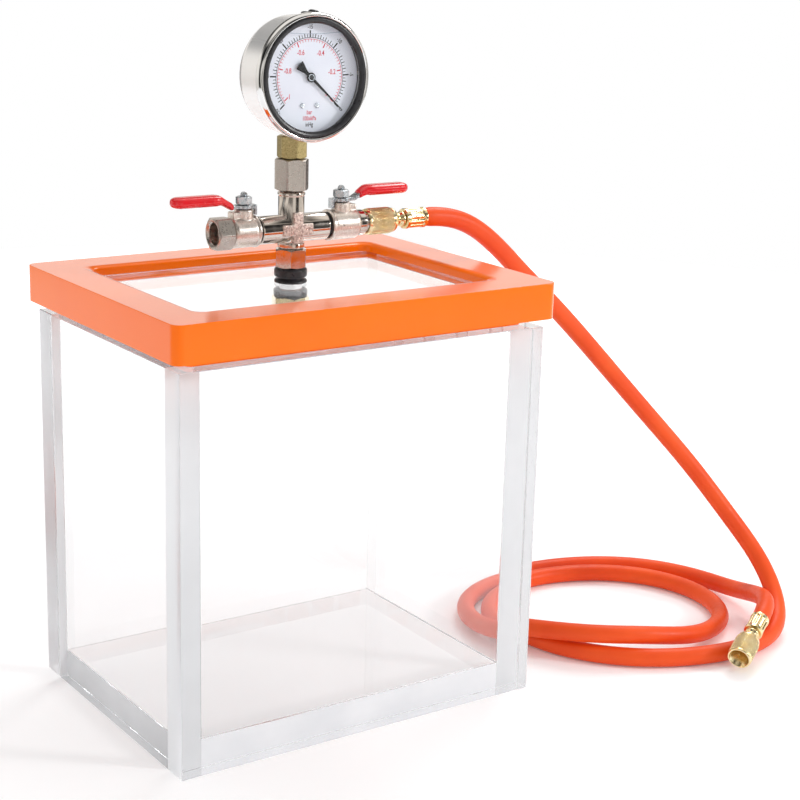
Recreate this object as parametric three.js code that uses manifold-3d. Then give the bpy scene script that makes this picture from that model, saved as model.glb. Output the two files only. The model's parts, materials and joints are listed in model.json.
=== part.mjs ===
// Clear acrylic vacuum degassing chamber: a box with a lift-off lid, a gauge and two ball valves on a
// four-way cross, and a rubber hose. Millimetres, +Z up, origin at the middle of the chamber's underside.
// X runs along the wide front face and Y runs from the front to the back.
import * as THREE from "three";
import { mergeVertices } from "three/addons/utils/BufferGeometryUtils.js";
import { NURBSCurve } from "three/addons/curves/NURBSCurve.js";
import Module from "manifold-3d";

const wasm = await Module();
wasm.setup();

// ---------------------------------------------------------------- driving dimensions
const GAP = 0.3; // clearance between pieces that touch on the real object

const BOX_X = 224; // outside of the chamber
const BOX_Y = 168;
const BOX_TOP = 215; // rim of the walls
const WALL = 16;

const SEAL_THICK = 1.7;
const SEAL_WIDTH = 8;
const LID_X = 208;
const LID_Y = 152;
const LID_TOP = 234.9;
const FRAME_OVERHANG = 4.8; // how far the orange frame stands out past the walls
const FRAME_BOTTOM = 220;
const FRAME_TOP = 240;
const FRAME_LIP = 25.6; // width of the flange on top of the lid
const FRAME_CORNER = 5.5;
const FRAME_WINDOW_CORNER = 7;

const CROSS_Z = 265; // height of the axis through both valves and the hose
const ARM_END = 21.2;
const ARM_R = 7.65;
const NECK_R = 7.1;
const NECK_TOP = 285;
const PORT_R = 6.2; // female thread of the horizontal ports
const SPIGOT_R = 5.9; // male thread that screws into one
const SMALL_PORT_R = 5.6; // female thread of the vertical ports
const SMALL_SPIGOT_R = 5.3;

const LEFT_STEM_X = -29.5;
const RIGHT_STEM_X = 32;
const VALVE_INNER_END = 22.6; // distance from the centre to where a valve body starts
const VALVE_R = 8.4;
const BALL_R = 4.6;
const LEVER_Z = 277.9; // underside of the lever plates
const LEVER_THICK = 1.8;

const GAUGE_Z = 347.5;
const BEZEL_R = 33.75;
const CASE_R = 31.5;
const CASE_WALL = 1.2;
const CASE_FRONT = -21.2;
const CASE_BACK = 7;
const DIAL_Y = -16.8; // front face of the dial
const ZERO_ANGLE = -42; // degrees above +X where the scale starts
const SECTOR_DROP = 11.2; // sector gear's pivot below the pointer's axis

const HOSE_R = 5.5;
const HOSE_SIDES = 8;
const HOSE_STEP = 27.5;
// Centre line of the hose: out of the right valve, down to the surface, and round in loose loops
// to the coupling that lies on top of the first loop.
const HOSE_ROUTE = [
  [88.5, 0, 265], [108, 0, 265], [131, 0, 255], [158, 0, 229], [190, -2, 201], [224, -6, 166],
  [257, -13, 130], [288, -26, 94], [308, -43, 61], [319, -64, 36], [313, -88, 15.5], [292, -109, 6],
  [261, -118, 5.6], [222, -113, 5.6], [188, -96, 5.6], [162, -68, 5.6], [151, -32, 5.6], [155, 6, 5.6],
  [179, 37, 5.6], [217, 46, 5.6], [259, 35, 5.6], [290, 7, 5.6], [300, -35, 5.6], [282, -76, 5.6],
  [241, -95, 8], [200, -92, 17], [167, -76, 18.5], [146, -45, 16], [139, -6, 8], [153, 34, 5.6],
  [186, 55, 5.6], [224, 58, 5.6], [264, 49, 5.6], [298, 26, 5.6], [317, -10, 5.6], [316, -48, 8],
  [302, -83, 20], [284.4, -107.1, 26.5], [269, -115, 21.2],
];

// ---------------------------------------------------------------- materials
const finish = (color, roughness, metalness = 0, opacity = 1) =>
  new THREE.MeshStandardMaterial({ color, roughness, metalness, opacity, transparent: opacity < 1 });

const ACRYLIC = finish(0xf2f5f7, 0.05, 0, 0.35);
const GLASS = finish(0xf4f7f8, 0.04, 0, 0.3);
const ORANGE_SILICONE = finish(0xff8420, 0.45);
const BLACK_RUBBER = finish(0x1d1d1f, 0.6);
const HOSE_RUBBER = finish(0xe9512b, 0.55);
const NICKEL = finish(0xc9c2b8, 0.3, 1);
const CAST_NICKEL = finish(0xb9b1a6, 0.5, 1);
const BRASS = finish(0xd8b060, 0.3, 1);
const STEEL = finish(0xd5d6d8, 0.2, 1);
const ZINC = finish(0xb8bcc0, 0.4, 1);
const RED_VINYL = finish(0xd6202e, 0.3);
const PTFE = finish(0xf3f3f0, 0.5);
const DIAL_WHITE = finish(0xf5f6f8, 0.6);
const BLACK_PAINT = finish(0x111111, 0.5);

const SIDES = 16; // facets of a small turned piece
const GAUGE_SIDES = 32;

// ---------------------------------------------------------------- solids
const degrees = THREE.MathUtils.degToRad;

function toSolid(geometry) {
  const bare = new THREE.BufferGeometry().setAttribute("position", geometry.getAttribute("position"));
  if (geometry.index) bare.setIndex(geometry.index);
  const merged = mergeVertices(bare, 1e-4);
  const make = (triVerts) =>
    new wasm.Manifold(
      new wasm.Mesh({ numProp: 3, vertProperties: merged.attributes.position.array, triVerts }),
    );
  const triangles = new Uint32Array(merged.index.array);
  const made = make(triangles);
  if (made.volume() > 0) return made;
  for (let i = 0; i < triangles.length; i += 3)
    [triangles[i + 1], triangles[i + 2]] = [triangles[i + 2], triangles[i + 1]];
  return make(triangles);
}

function toGeometry(solid) {
  const mesh = solid.getMesh();
  const positions = new THREE.BufferAttribute(new Float32Array(mesh.vertProperties), 3);
  return new THREE.BufferGeometry()
    .setAttribute("position", positions)
    .setIndex(new THREE.BufferAttribute(mesh.triVerts, 1));
}

const join = (...geometries) => toGeometry(geometries.map(toSolid).reduce((a, b) => a.add(b)));
const cut = (base, ...tools) => toGeometry(tools.map(toSolid).reduce((a, b) => a.subtract(b), toSolid(base)));
const common = (a, b) => toGeometry(toSolid(a).intersect(toSolid(b)));

const box = (x0, x1, y0, y1, z0, z1) =>
  new THREE.BoxGeometry(x1 - x0, y1 - y0, z1 - z0).translate((x0 + x1) / 2, (y0 + y1) / 2, (z0 + z1) / 2);

// A profile of [radius, height] points turned about the Z, X or Y axis.
function turned(profile, sides = SIDES) {
  return new THREE.LatheGeometry(
    profile.map(([r, h]) => new THREE.Vector2(r, h)),
    sides,
  );
}
const turnedZ = (profile, sides) => turned(profile, sides).rotateX(Math.PI / 2);
const turnedX = (profile, sides) => turned(profile, sides).rotateZ(-Math.PI / 2);
const turnedY = (profile, sides) => turned(profile, sides);

const rod = (r, h0, h1) => [[0, h0], [r, h0], [r, h1], [0, h1]];
const ring = (r0, r1, h0, h1) => [[r0, h0], [r1, h0], [r1, h1], [r0, h1], [r0, h0]];
const chamferedRing = (r0, r1, h0, h1, c) => [
  [r0, h0], [r1 - c, h0], [r1, h0 + c], [r1, h1 - c], [r1 - c, h1], [r0, h1], [r0, h0],
];

function polygon(points) {
  return new THREE.Shape(points.map(([x, y]) => new THREE.Vector2(x, y)));
}

// A flat outline in X and Y, extruded from z0 to z1.
function slab(shape, z0, z1, curveSegments = 4) {
  const settings = { depth: z1 - z0, bevelEnabled: false, curveSegments };
  return new THREE.ExtrudeGeometry(shape, settings).translate(0, 0, z0);
}

// A side outline in X and Z, extruded over y0 to y1.
function sideSlab(shape, y0, y1, curveSegments = 4) {
  return new THREE.ExtrudeGeometry(shape, { depth: y1 - y0, bevelEnabled: false, curveSegments })
    .rotateX(Math.PI / 2)
    .translate(0, y1, 0);
}

function roundedRectangle(width, depth, radius) {
  const x = width / 2;
  const y = depth / 2;
  const shape = new THREE.Shape();
  shape.moveTo(-x + radius, -y);
  shape.lineTo(x - radius, -y);
  shape.absarc(x - radius, -y + radius, radius, -Math.PI / 2, 0);
  shape.lineTo(x, y - radius);
  shape.absarc(x - radius, y - radius, radius, 0, Math.PI / 2);
  shape.lineTo(-x + radius, y);
  shape.absarc(-x + radius, y - radius, radius, Math.PI / 2, Math.PI);
  shape.lineTo(-x, -y + radius);
  shape.absarc(-x + radius, -y + radius, radius, Math.PI, Math.PI * 1.5);
  return shape;
}

// A hexagonal prism on the Z axis with chamfered ends; turn is its rotation in degrees from the
// position with a flat facing -Y.
function hexagon(acrossFlats, z0, z1, turn = 0) {
  const corner = acrossFlats / Math.sqrt(3);
  const chamfer = corner - acrossFlats / 2;
  const profile = [
    [0, z0], [corner - chamfer, z0], [corner, z0 + chamfer * 0.6],
    [corner, z1 - chamfer * 0.6], [corner - chamfer, z1], [0, z1],
  ];
  return turnedZ(profile, 6).rotateZ(degrees(30 + turn));
}

const group = new THREE.Group();

function part(name, geometry, material, parent = group) {
  const mesh = new THREE.Mesh(toGeometry(toSolid(geometry)), material);
  mesh.name = name;
  parent.add(mesh);
  return mesh;
}

// ---------------------------------------------------------------- chamber
function addChamber() {
  const x = BOX_X / 2;
  const y = BOX_Y / 2;
  const foot = WALL + GAP;
  part("base_plate", box(-x, x, -y, y, 0, WALL), ACRYLIC);
  part("front_wall", box(-x, x, -y, -y + WALL, foot, BOX_TOP), ACRYLIC);
  part("back_wall", box(-x, x, y - WALL, y, foot, BOX_TOP), ACRYLIC);
  part("left_wall", box(-x, -x + WALL, -y + foot, y - foot, foot, BOX_TOP), ACRYLIC);
  part("right_wall", box(x - WALL, x, -y + foot, y - foot, foot, BOX_TOP), ACRYLIC);
}

// ---------------------------------------------------------------- lid
const STEM_R = 6; // threaded stem of the adapter through the lid
const STEM_HOLE_R = 6.5;
const WASHER_HEIGHT = 8.1; // upper washer, squeezed between the lid and the adapter

function frameSlab(outerX, outerY, outerR, innerX, innerY, innerR, z0, z1) {
  const shape = roundedRectangle(outerX, outerY, outerR);
  shape.holes.push(roundedRectangle(innerX, innerY, innerR));
  return slab(shape, z0, z1);
}

function addLid() {
  const sealBottom = BOX_TOP + GAP;
  const sealX = LID_X - 2;
  const sealY = LID_Y - 2;
  const inside = [sealX - 2 * SEAL_WIDTH, sealY - 2 * SEAL_WIDTH, 3];
  part(
    "lid_seal",
    frameSlab(sealX, sealY, 3, ...inside, sealBottom, sealBottom + SEAL_THICK),
    ORANGE_SILICONE,
  );
  const plateBottom = sealBottom + SEAL_THICK + GAP;
  const plate = box(-LID_X / 2, LID_X / 2, -LID_Y / 2, LID_Y / 2, plateBottom, LID_TOP);
  part("lid_plate", cut(plate, turnedZ(rod(STEM_HOLE_R, plateBottom - 1, LID_TOP + 1))), ACRYLIC);

  const outerX = BOX_X + 2 * FRAME_OVERHANG;
  const outerY = BOX_Y + 2 * FRAME_OVERHANG;
  const outline = [outerX, outerY, FRAME_CORNER];
  const skirt = frameSlab(...outline, LID_X + 2 * GAP, LID_Y + 2 * GAP, 0.4, FRAME_BOTTOM, FRAME_TOP);
  const flange = frameSlab(
    ...outline, outerX - 2 * FRAME_LIP, outerY - 2 * FRAME_LIP, FRAME_WINDOW_CORNER, LID_TOP + GAP, FRAME_TOP,
  );
  part("lid_frame", join(skirt, flange), ORANGE_SILICONE);

  // Rubber bush with a thin foot flange, a groove and a thick collar.
  const foot = LID_TOP + GAP;
  part(
    "upper_washer",
    turnedZ([
      [STEM_R + GAP, foot], [8.8, foot], [9.1, foot + 0.4], [9.1, foot + 1.4], [8.6, foot + 1.8],
      [7.4, foot + 2], [7.4, foot + 3], [8.6, foot + 3.3], [9.1, foot + 3.8], [9.1, foot + 7.2],
      [8.4, foot + WASHER_HEIGHT], [STEM_R + GAP, foot + WASHER_HEIGHT], [STEM_R + GAP, foot],
    ]),
    BLACK_RUBBER,
  );
  const washerTop = plateBottom - GAP;
  const washerFoot = washerTop - 3.4;
  part("lower_washer", turnedZ(chamferedRing(STEM_R + GAP, 9.5, washerFoot, washerTop, 0.6)), BLACK_RUBBER);
  const nutTop = washerFoot - GAP;
  part(
    "lock_nut",
    cut(hexagon(19, nutTop - 6.6, nutTop, 12), turnedZ(rod(STEM_R + GAP, nutTop - 8, nutTop + 1))),
    BRASS,
  );
}

// ---------------------------------------------------------------- manifold between the valves
const HEX_BOTTOM = LID_TOP + WASHER_HEIGHT + 2 * GAP; // hexagon of the adapter, on the upper washer
const HEX_TOP = 253.9;

function addManifold() {
  const adapter = join(
    hexagon(16.3, HEX_BOTTOM, HEX_TOP),
    turnedZ(rod(STEM_R, 203.5, HEX_BOTTOM + 1)),
    turnedZ(rod(SMALL_SPIGOT_R, HEX_TOP - 1, HEX_TOP + 4.6)),
  );
  part("lid_adapter", cut(adapter, turnedZ(rod(3, 202, HEX_TOP + 6))), NICKEL);

  const bottom = HEX_TOP + GAP;
  const web = 6.2; // half height of the cast bars
  const fillet = 3.2;
  const casting = polygon([
    [-9.5, -web], [-web - fillet, -web], [-web, -web - fillet], [-web, bottom - CROSS_Z],
    [web, bottom - CROSS_Z], [web, -web - fillet], [web + fillet, -web], [9.5, -web],
    [9.5, web], [web + fillet, web], [web, web + fillet], [-web, web + fillet], [-web - fillet, web],
    [-9.5, web],
  ]);
  const cast = sideSlab(casting, -6.3, 6.3).translate(0, 0, CROSS_Z);
  const arms = [-1, 1].map((side) =>
    turnedX(
      [[0, 8.2], [ARM_R - 1, 8.2], [ARM_R, 9.2], [ARM_R, ARM_END - 0.5], [ARM_R - 0.5, ARM_END], [0, ARM_END]]
        .map(([r, h]) => [r, side * h]),
    ).translate(0, 0, CROSS_Z),
  );
  const neck = turnedZ([
    [0, 272], [NECK_R, 272], [NECK_R, NECK_TOP - 1.8], [NECK_R + 0.4, NECK_TOP - 1.4],
    [NECK_R + 0.4, NECK_TOP - 0.4], [NECK_R, NECK_TOP], [0, NECK_TOP],
  ]);
  part(
    "cross_fitting",
    cut(
      join(cast, ...arms, neck),
      turnedX(rod(3.8, -30, 30)).translate(0, 0, CROSS_Z),
      turnedX(rod(PORT_R, -30, -10.5)).translate(0, 0, CROSS_Z),
      turnedX(rod(PORT_R, 10.5, 30)).translate(0, 0, CROSS_Z),
      turnedZ(rod(3.8, 250, 290)),
      turnedZ(rod(SMALL_PORT_R, 250, HEX_TOP + 5.2)),
      turnedZ(rod(SMALL_PORT_R, 275.5, 290)),
    ),
    NICKEL,
  );

  for (const [name, side] of [["left_thread_seal", -1], ["right_thread_seal", 1]])
    part(
      name,
      turnedX(ring(SPIGOT_R + GAP, 7.3, side * (ARM_END + GAP), side * (VALVE_INNER_END - GAP)))
        .translate(0, 0, CROSS_Z),
      BLACK_RUBBER,
    );

  const couplingBottom = NECK_TOP + GAP + 0.7;
  const couplingTop = 303;
  const coupling = join(
    hexagon(17, couplingBottom, couplingTop, -12),
    turnedZ(rod(SMALL_SPIGOT_R, 276.5, couplingBottom + 1)),
  );
  part(
    "gauge_coupling",
    cut(coupling, turnedZ(rod(2.5, 270, 310)), turnedZ(rod(SMALL_PORT_R, 292.5, couplingTop + 2))),
    NICKEL,
  );
}

// ---------------------------------------------------------------- ball valves
const SEAT_NEAR = 3.7; // distance of a seat's faces from the stem's axis
const SEAT_FAR = 5.5;
const CAVITY_END = 5.8;
const BODY_OUTER = 8.8; // from the stem's axis to the outer end of the valve body

// Everything of one valve in its own frame: the stem's axis is Z, the port that looks away from the
// cross is on +X, and inner is the distance from the stem's axis to the body's end at the cross.
function addValve(side, stemX, connector) {
  const valve = new THREE.Group();
  valve.position.set(stemX, 0, 0);
  if (stemX < 0) valve.rotation.z = Math.PI;
  group.add(valve);
  const name = (piece) => side + "_" + piece;
  const inner = Math.abs(stemX) - VALVE_INNER_END;
  const onAxis = (profile, sides) => turnedX(profile, sides).translate(0, 0, CROSS_Z);

  const shell = onAxis([
    [0, -inner], [VALVE_R + 0.3, -inner], [VALVE_R + 0.3, -inner + 1.6], [VALVE_R, -inner + 2.2],
    [VALVE_R, BODY_OUTER - 0.8], [VALVE_R - 0.8, BODY_OUTER], [0, BODY_OUTER],
  ]);
  const boss = turnedZ([[0, CROSS_Z], [5.2, CROSS_Z], [5.2, 276.8], [4.6, 277.4], [0, 277.4]]);
  const lug = box(2, 8, -3.4, 3.4, CROSS_Z + 4, 276.2);
  const body = cut(
    join(shell, boss, lug, onAxis(rod(SPIGOT_R, -inner - 9.5, -inner + 1))),
    onAxis(rod(3, -inner - 12, 0)),
    onAxis(rod(5.4, -CAVITY_END, BODY_OUTER + 1)),
    onAxis(rod(PORT_R, CAVITY_END, BODY_OUTER + 1)),
    turnedZ(rod(2.3, CROSS_Z, 280)),
    turnedZ(rod(3.9, 271.6, 280)),
  );
  part(name("valve_body"), body, CAST_NICKEL, valve);
  part(name("valve_connector"), connector(onAxis), NICKEL, valve);

  const sphere = new THREE.SphereGeometry(BALL_R, 16, 10).translate(0, 0, CROSS_Z);
  part(name("valve_ball"), cut(sphere, onAxis(rod(2.6, -6, 6))), STEEL, valve);
  part(name("inner_seat"), onAxis(ring(3.2, 5.1, -SEAT_FAR, -SEAT_NEAR)), PTFE, valve);
  part(name("outer_seat"), onAxis(ring(3.2, 5.1, SEAT_NEAR, SEAT_FAR)), PTFE, valve);

  const stemFoot = CROSS_Z + BALL_R + GAP;
  part(
    name("valve_stem"),
    turnedZ([
      [0, stemFoot], [2, stemFoot], [2, 274.7], [3.5, 274.7], [3.5, 276.6], [2, 276.6],
      [2, 286], [1.4, 286.6], [0, 286.6],
    ]),
    BRASS,
    valve,
  );
  part(name("stem_packing"), turnedZ(ring(2.3, 3.6, 271.9, 274.4)), PTFE, valve);
  addLever(name, valve);
}

const LEVER_RISE = 4.2; // the grip's core above the plate
const LEVER_END = 40.5;

function addLever(name, valve) {
  const top = LEVER_Z + LEVER_THICK;
  const eye = turnedZ(rod(4.9, LEVER_Z, top));
  const bend = (grow) =>
    polygon([
      [0, LEVER_Z - grow], [8 + grow * 0.5, LEVER_Z - grow], [15.5, LEVER_Z + LEVER_RISE - grow],
      [LEVER_END, LEVER_Z + LEVER_RISE - grow], [LEVER_END, top + LEVER_RISE + grow],
      [14.5, top + LEVER_RISE + grow], [7 - grow * 0.5, top + grow], [0, top + grow],
    ]);
  const strip = sideSlab(bend(0), -2.6, 2.6);
  // stop tab, bent down beside the stem boss
  const tab = join(box(-7, -4, -2.2, 2.2, LEVER_Z, top), box(-7, -5.8, -2.2, 2.2, LEVER_Z - 3.8, top));
  part(
    name("valve_lever"),
    cut(join(eye, strip, tab), turnedZ(rod(2.3, LEVER_Z - 1, top + 1))),
    ZINC,
    valve,
  );

  const start = 7.5; // where the vinyl sleeve begins
  const neck = common(sideSlab(bend(1.3), -3.9, 3.9), box(start, 22, -10, 10, LEVER_Z - 5, top + 10));
  const middle = LEVER_Z + LEVER_THICK / 2 + LEVER_RISE;
  const outline = new THREE.Shape();
  outline.moveTo(16, -2.8);
  outline.lineTo(20.5, -4.4);
  outline.lineTo(38, -4.4);
  outline.absarc(38, 0, 4.4, -Math.PI / 2, Math.PI / 2);
  outline.lineTo(20.5, 4.4);
  outline.lineTo(16, 2.8);
  const handle = new THREE.ExtrudeGeometry(outline, {
    depth: 4, bevelEnabled: true, bevelSize: 1, bevelThickness: 1, bevelSegments: 2, curveSegments: 6,
  }).translate(0, 0, middle - 2);
  const core = common(
    sideSlab(bend(GAP), -2.6 - GAP, 2.6 + GAP),
    box(start - 2, LEVER_END + GAP, -5, 5, LEVER_Z - 5, top + 10),
  );
  const coreEnd = box(20, LEVER_END + GAP, -2.9, 2.9, middle - 1.2, middle + 1.2);
  part(name("lever_grip"), cut(join(neck, handle), core, coreEnd), RED_VINYL, valve);

  const nutFoot = top + GAP;
  part(
    name("lever_nut"),
    cut(hexagon(8, nutFoot, nutFoot + 4.6, 15), turnedZ(rod(2.3, nutFoot - 1, nutFoot + 6))),
    ZINC,
    valve,
  );
}

// Hexagonal female end, screwed into the body.
function femaleConnector(onAxis) {
  const start = BODY_OUTER + GAP;
  const end = 19;
  const hex = hexagon(16.6, start, end, 0).rotateY(Math.PI / 2).translate(0, 0, CROSS_Z);
  const spigot = onAxis(rod(SPIGOT_R, CAVITY_END + GAP, start + 1));
  const port = onAxis([[0, 10.5], [5.4, 10.5], [6.25, 12], [6.25, 18], [7, 20], [0, 20]]);
  return cut(join(hex, spigot), onAxis(rod(3.2, 0, 30)), port);
}

// Round collar with a male thread and a 45 degree flare for the hose nut.
function flareConnector(onAxis) {
  const start = BODY_OUTER + GAP;
  const collarEnd = 14;
  const flareEnd = 27.6;
  const outside = onAxis([
    [0, CAVITY_END + GAP], [SPIGOT_R, CAVITY_END + GAP], [SPIGOT_R, start], [6.9, start], [7.2, start + 0.6],
    [7.2, collarEnd - 0.8], [6.4, collarEnd], [5.1, collarEnd], [5.5, collarEnd + 0.8], [5.5, flareEnd - 3.2],
    [2.6, flareEnd], [0, flareEnd],
  ]);
  return cut(outside, onAxis(rod(2.2, 0, 30)));
}

// ---------------------------------------------------------------- gauge
function addGauge() {
  const gauge = new THREE.Group();
  gauge.position.z = GAUGE_Z;
  group.add(gauge);
  addGaugeCase(gauge);
  addDial(gauge);
  addMovement(gauge);

  const hexTop = 315.3;
  const socket = join(
    turnedZ(rod(SMALL_SPIGOT_R, 293.2, 304)),
    hexagon(14.4, 303.3, hexTop, 19),
    turnedZ(rod(4.8, hexTop - 1, 321)),
    box(-5.5, 5.5, -12, 1, 320, 324.2),
  );
  part("gauge_socket", cut(socket, turnedZ(rod(1.5, 290, 322))), BRASS);
}

const PLUG_Y = -11.5;
const PLUG_TURN = degrees(9.5); // the fill plug's place, clockwise from the top of the case

function addGaugeCase(gauge) {
  const inner = CASE_R - CASE_WALL;
  const shell = turnedY(
    [
      [0, CASE_BACK - CASE_WALL], [25.5, CASE_BACK - CASE_WALL], [28.8, 4.2], [inner, 1.2],
      [inner, CASE_FRONT], [CASE_R, CASE_FRONT], [CASE_R, 1.5], [30.8, 4.1], [28.9, 6.2],
      [26, CASE_BACK], [0, CASE_BACK],
    ],
    GAUGE_SIDES,
  );
  const socketHole = turnedZ(rod(5.2, -40, -17));
  const plugHole = turnedZ(rod(4, 20, 40)).translate(0, PLUG_Y, 0).rotateY(PLUG_TURN);
  part("gauge_case", cut(shell, socketHole, plugHole), STEEL, gauge);
  part(
    "gauge_bezel",
    turnedY(
      [
        [31.9, -18.8], [33.3, -18.8], [BEZEL_R, -19.4], [BEZEL_R, -23], [33.1, -24], [32.5, -24],
        [32.5, -21.5], [31.9, -21.5], [31.9, -18.8],
      ],
      GAUGE_SIDES,
    ),
    STEEL,
    gauge,
  );
  part(
    "gauge_seal",
    turnedY(
      [[28, -21.6], [28, -22.4], [28.9, -23.2], [31.4, -23.8], [32.2, -23.4], [32.2, -21.6], [28, -21.6]],
      GAUGE_SIDES,
    ),
    BLACK_RUBBER,
    gauge,
  );
  part("gauge_window", turnedY(rod(30, -21.3, -19.7), GAUGE_SIDES), GLASS, gauge);
  part(
    "fill_plug",
    turnedZ(
      [[0, 26], [3.6, 26], [3.6, CASE_R + GAP], [6.6, CASE_R + GAP], [6.6, 32.7], [5.8, 33.2], [2.9, 33.4],
        [2.6, 34.3], [1.8, 34.9], [0, 35.1]],
      20,
    ).translate(0, PLUG_Y, 0).rotateY(PLUG_TURN),
    BLACK_RUBBER,
    gauge,
  );
}

const SCREW_X = 4.5;
const SCREW_Z = -14.8;

function addDial(gauge) {
  const hole = (r, x, z) => turnedY(rod(r, DIAL_Y - 2, DIAL_Y + 6), 14).translate(x, 0, z);
  part(
    "gauge_dial",
    cut(
      turnedY(rod(29.6, DIAL_Y, DIAL_Y + 0.8), GAUGE_SIDES),
      hole(1.6, 0, 0), hole(1, -SCREW_X, SCREW_Z), hole(1, SCREW_X, SCREW_Z),
    ),
    DIAL_WHITE,
    gauge,
  );
  const head = DIAL_Y - GAP;
  const screw = [
    [0, head - 0.8], [1.1, head - 0.8], [1.4, head - 0.4], [1.4, head], [0.7, head], [0.7, -13], [0, -13],
  ];
  for (const [name, x] of [["left_dial_screw", -SCREW_X], ["right_dial_screw", SCREW_X]])
    part(name, turnedY(screw, 14).translate(x, 0, SCREW_Z), ZINC, gauge);

  // The needle lies along +X before it is turned to the zero mark.
  const needle = new THREE.Shape();
  needle.moveTo(25.4, -0.15);
  needle.lineTo(26.6, 0);
  needle.lineTo(25.4, 0.15);
  needle.lineTo(2.5, 0.75);
  needle.absarc(0, 0, 2.6, degrees(17), degrees(163));
  needle.lineTo(-4.4, 0.9);
  needle.lineTo(-9.4, 2.7);
  needle.lineTo(-9.9, 0);
  needle.lineTo(-9.4, -2.7);
  needle.lineTo(-4.4, -0.9);
  needle.absarc(0, 0, 2.6, degrees(197), degrees(343));
  needle.lineTo(2.5, -0.75);
  const turn = -degrees(ZERO_ANGLE);
  part(
    "gauge_pointer",
    cut(sideSlab(needle, -18.6, -18, 6), turnedY(rod(1, -20, -16), 12)).rotateY(turn),
    BLACK_PAINT,
    gauge,
  );
  part("pointer_cap", turnedY([[0, -19.4], [1.2, -19.3], [1.8, -18.9], [0, -18.9]], 20), ZINC, gauge);
}

const PLATE_FRONT = [-14.6, -13.4]; // front plate of the movement, from its front to its back face
const PLATE_BACK = [-7.4, -6.2];
const GEAR_Y = [-11.6, -10.4];
const SECTOR_START = 22; // degrees that the sector leans at zero
const SECTOR_TAIL = 3.5; // from the sector's pivot to the pin that carries the link

// Alternating tip and root radii over part of a circle.
function toothed(tip, root, from, to, teeth) {
  const points = [];
  for (let i = 0; i < teeth; i++) {
    const step = (to - from) / teeth;
    const a = from + i * step;
    for (const [r, f] of [[root, 0], [tip, 0.3], [tip, 0.6], [root, 0.9]]) {
      const angle = degrees(a + f * step);
      points.push([r * Math.cos(angle), r * Math.sin(angle)]);
    }
  }
  return points;
}

function addMovement(gauge) {
  const plate = (y0, y1) => box(-11, 11, y0, y1, -17, 9);
  const pillars = [[-9.4, 7.4], [9.4, 7.4], [-9.4, -15.4], [9.4, -15.4]].map(([x, z]) =>
    turnedY(rod(1.2, PLATE_FRONT[0], PLATE_BACK[1]), 12).translate(x, 0, z),
  );
  const bore = (r, x, z) => turnedY(rod(r, -16, -13), 12).translate(x, 0, z);
  part(
    "movement_frame",
    cut(
      join(plate(...PLATE_FRONT), plate(...PLATE_BACK), ...pillars),
      bore(1.1, 0, 0), bore(1, -SCREW_X, SCREW_Z), bore(1, SCREW_X, SCREW_Z),
    ),
    BRASS,
    gauge,
  );

  const pinion = sideSlab(polygon(toothed(1.7, 1.2, 0, 360, 9)), ...GEAR_Y);
  const shaft = turnedY(rod(0.7, -18.6, PLATE_BACK[0] - GAP), 12);
  part("pointer_arbor", join(shaft, pinion), BRASS, gauge);

  const waist = [[-1.6, 0.6], [-1.6, -0.6], [1.6, -0.6], [1.6, 0.6]];
  const fan = polygon([...toothed(9.2, 8.7, 62, 118, 10), ...waist]);
  const tail = box(-SECTOR_TAIL, 0, GEAR_Y[0], GEAR_Y[1], -1.1, 1.1);
  const tailPin = turnedY(rod(0.8, GEAR_Y[0], -8.1), 12).translate(-SECTOR_TAIL, 0, 0);
  const hub = turnedY(rod(1.5, PLATE_FRONT[1] + GAP, PLATE_BACK[0] - GAP), 12);
  part(
    "sector_gear",
    join(sideSlab(fan, ...GEAR_Y), tail, tailPin, hub).rotateY(-degrees(SECTOR_START)),
    BRASS,
    gauge,
  ).position.z = -SECTOR_DROP;

  addTubeAndLink(gauge);
}

const TUBE_RADIUS = 22;
const TUBE_TIP = 150; // degrees above +X

function addTubeAndLink(gauge) {
  const path = new THREE.CurvePath();
  const arc = new THREE.EllipseCurve(0, 0, TUBE_RADIUS, TUBE_RADIUS, degrees(-96), degrees(TUBE_TIP));
  const points = arc.getPoints(40).map((p) => new THREE.Vector3(p.x, 0, p.y));
  path.add(new THREE.CatmullRomCurve3(points));
  const section = polygon([
    [-3, -0.8], [-4, -0.4], [-4, 0.4], [-3, 0.8], [3, 0.8], [4, 0.4], [4, -0.4], [3, -0.8],
  ]);
  const tube = new THREE.ExtrudeGeometry(section, { steps: 20, extrudePath: path, bevelEnabled: false })
    .translate(0, -8, 0);
  part("bourdon_tube", tube, BRASS, gauge);

  // The link hangs on the sector's tail pin and ends just inside the tube's tip.
  const start = degrees(180 + SECTOR_START);
  const foot = new THREE.Vector2(Math.cos(start), Math.sin(start)).multiplyScalar(SECTOR_TAIL);
  foot.y -= SECTOR_DROP;
  const tip = degrees(TUBE_TIP);
  const head = new THREE.Vector2(Math.cos(tip), Math.sin(tip)).multiplyScalar(TUBE_RADIUS - 4);
  const span = head.distanceTo(foot);
  const bar = join(
    box(0, span, -0.3, 0.3, -0.7, 0.7),
    turnedY(rod(1.5, -0.3, 0.3), 14),
    turnedY(rod(1.2, -0.3, 0.3), 14).translate(span, 0, 0),
  );
  const link = cut(bar, turnedY(rod(1.05, -1, 1), 12)).rotateY(-Math.atan2(head.y - foot.y, head.x - foot.x));
  part("tip_link", link.translate(foot.x, -8.9, foot.y), BRASS, gauge);
}

// ---------------------------------------------------------------- hose
const FERRULE_END = 14.8; // distances from the end face of the hose along the coupling
const NUT_START = 20.4;
const NUT_END = 41;

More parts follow.
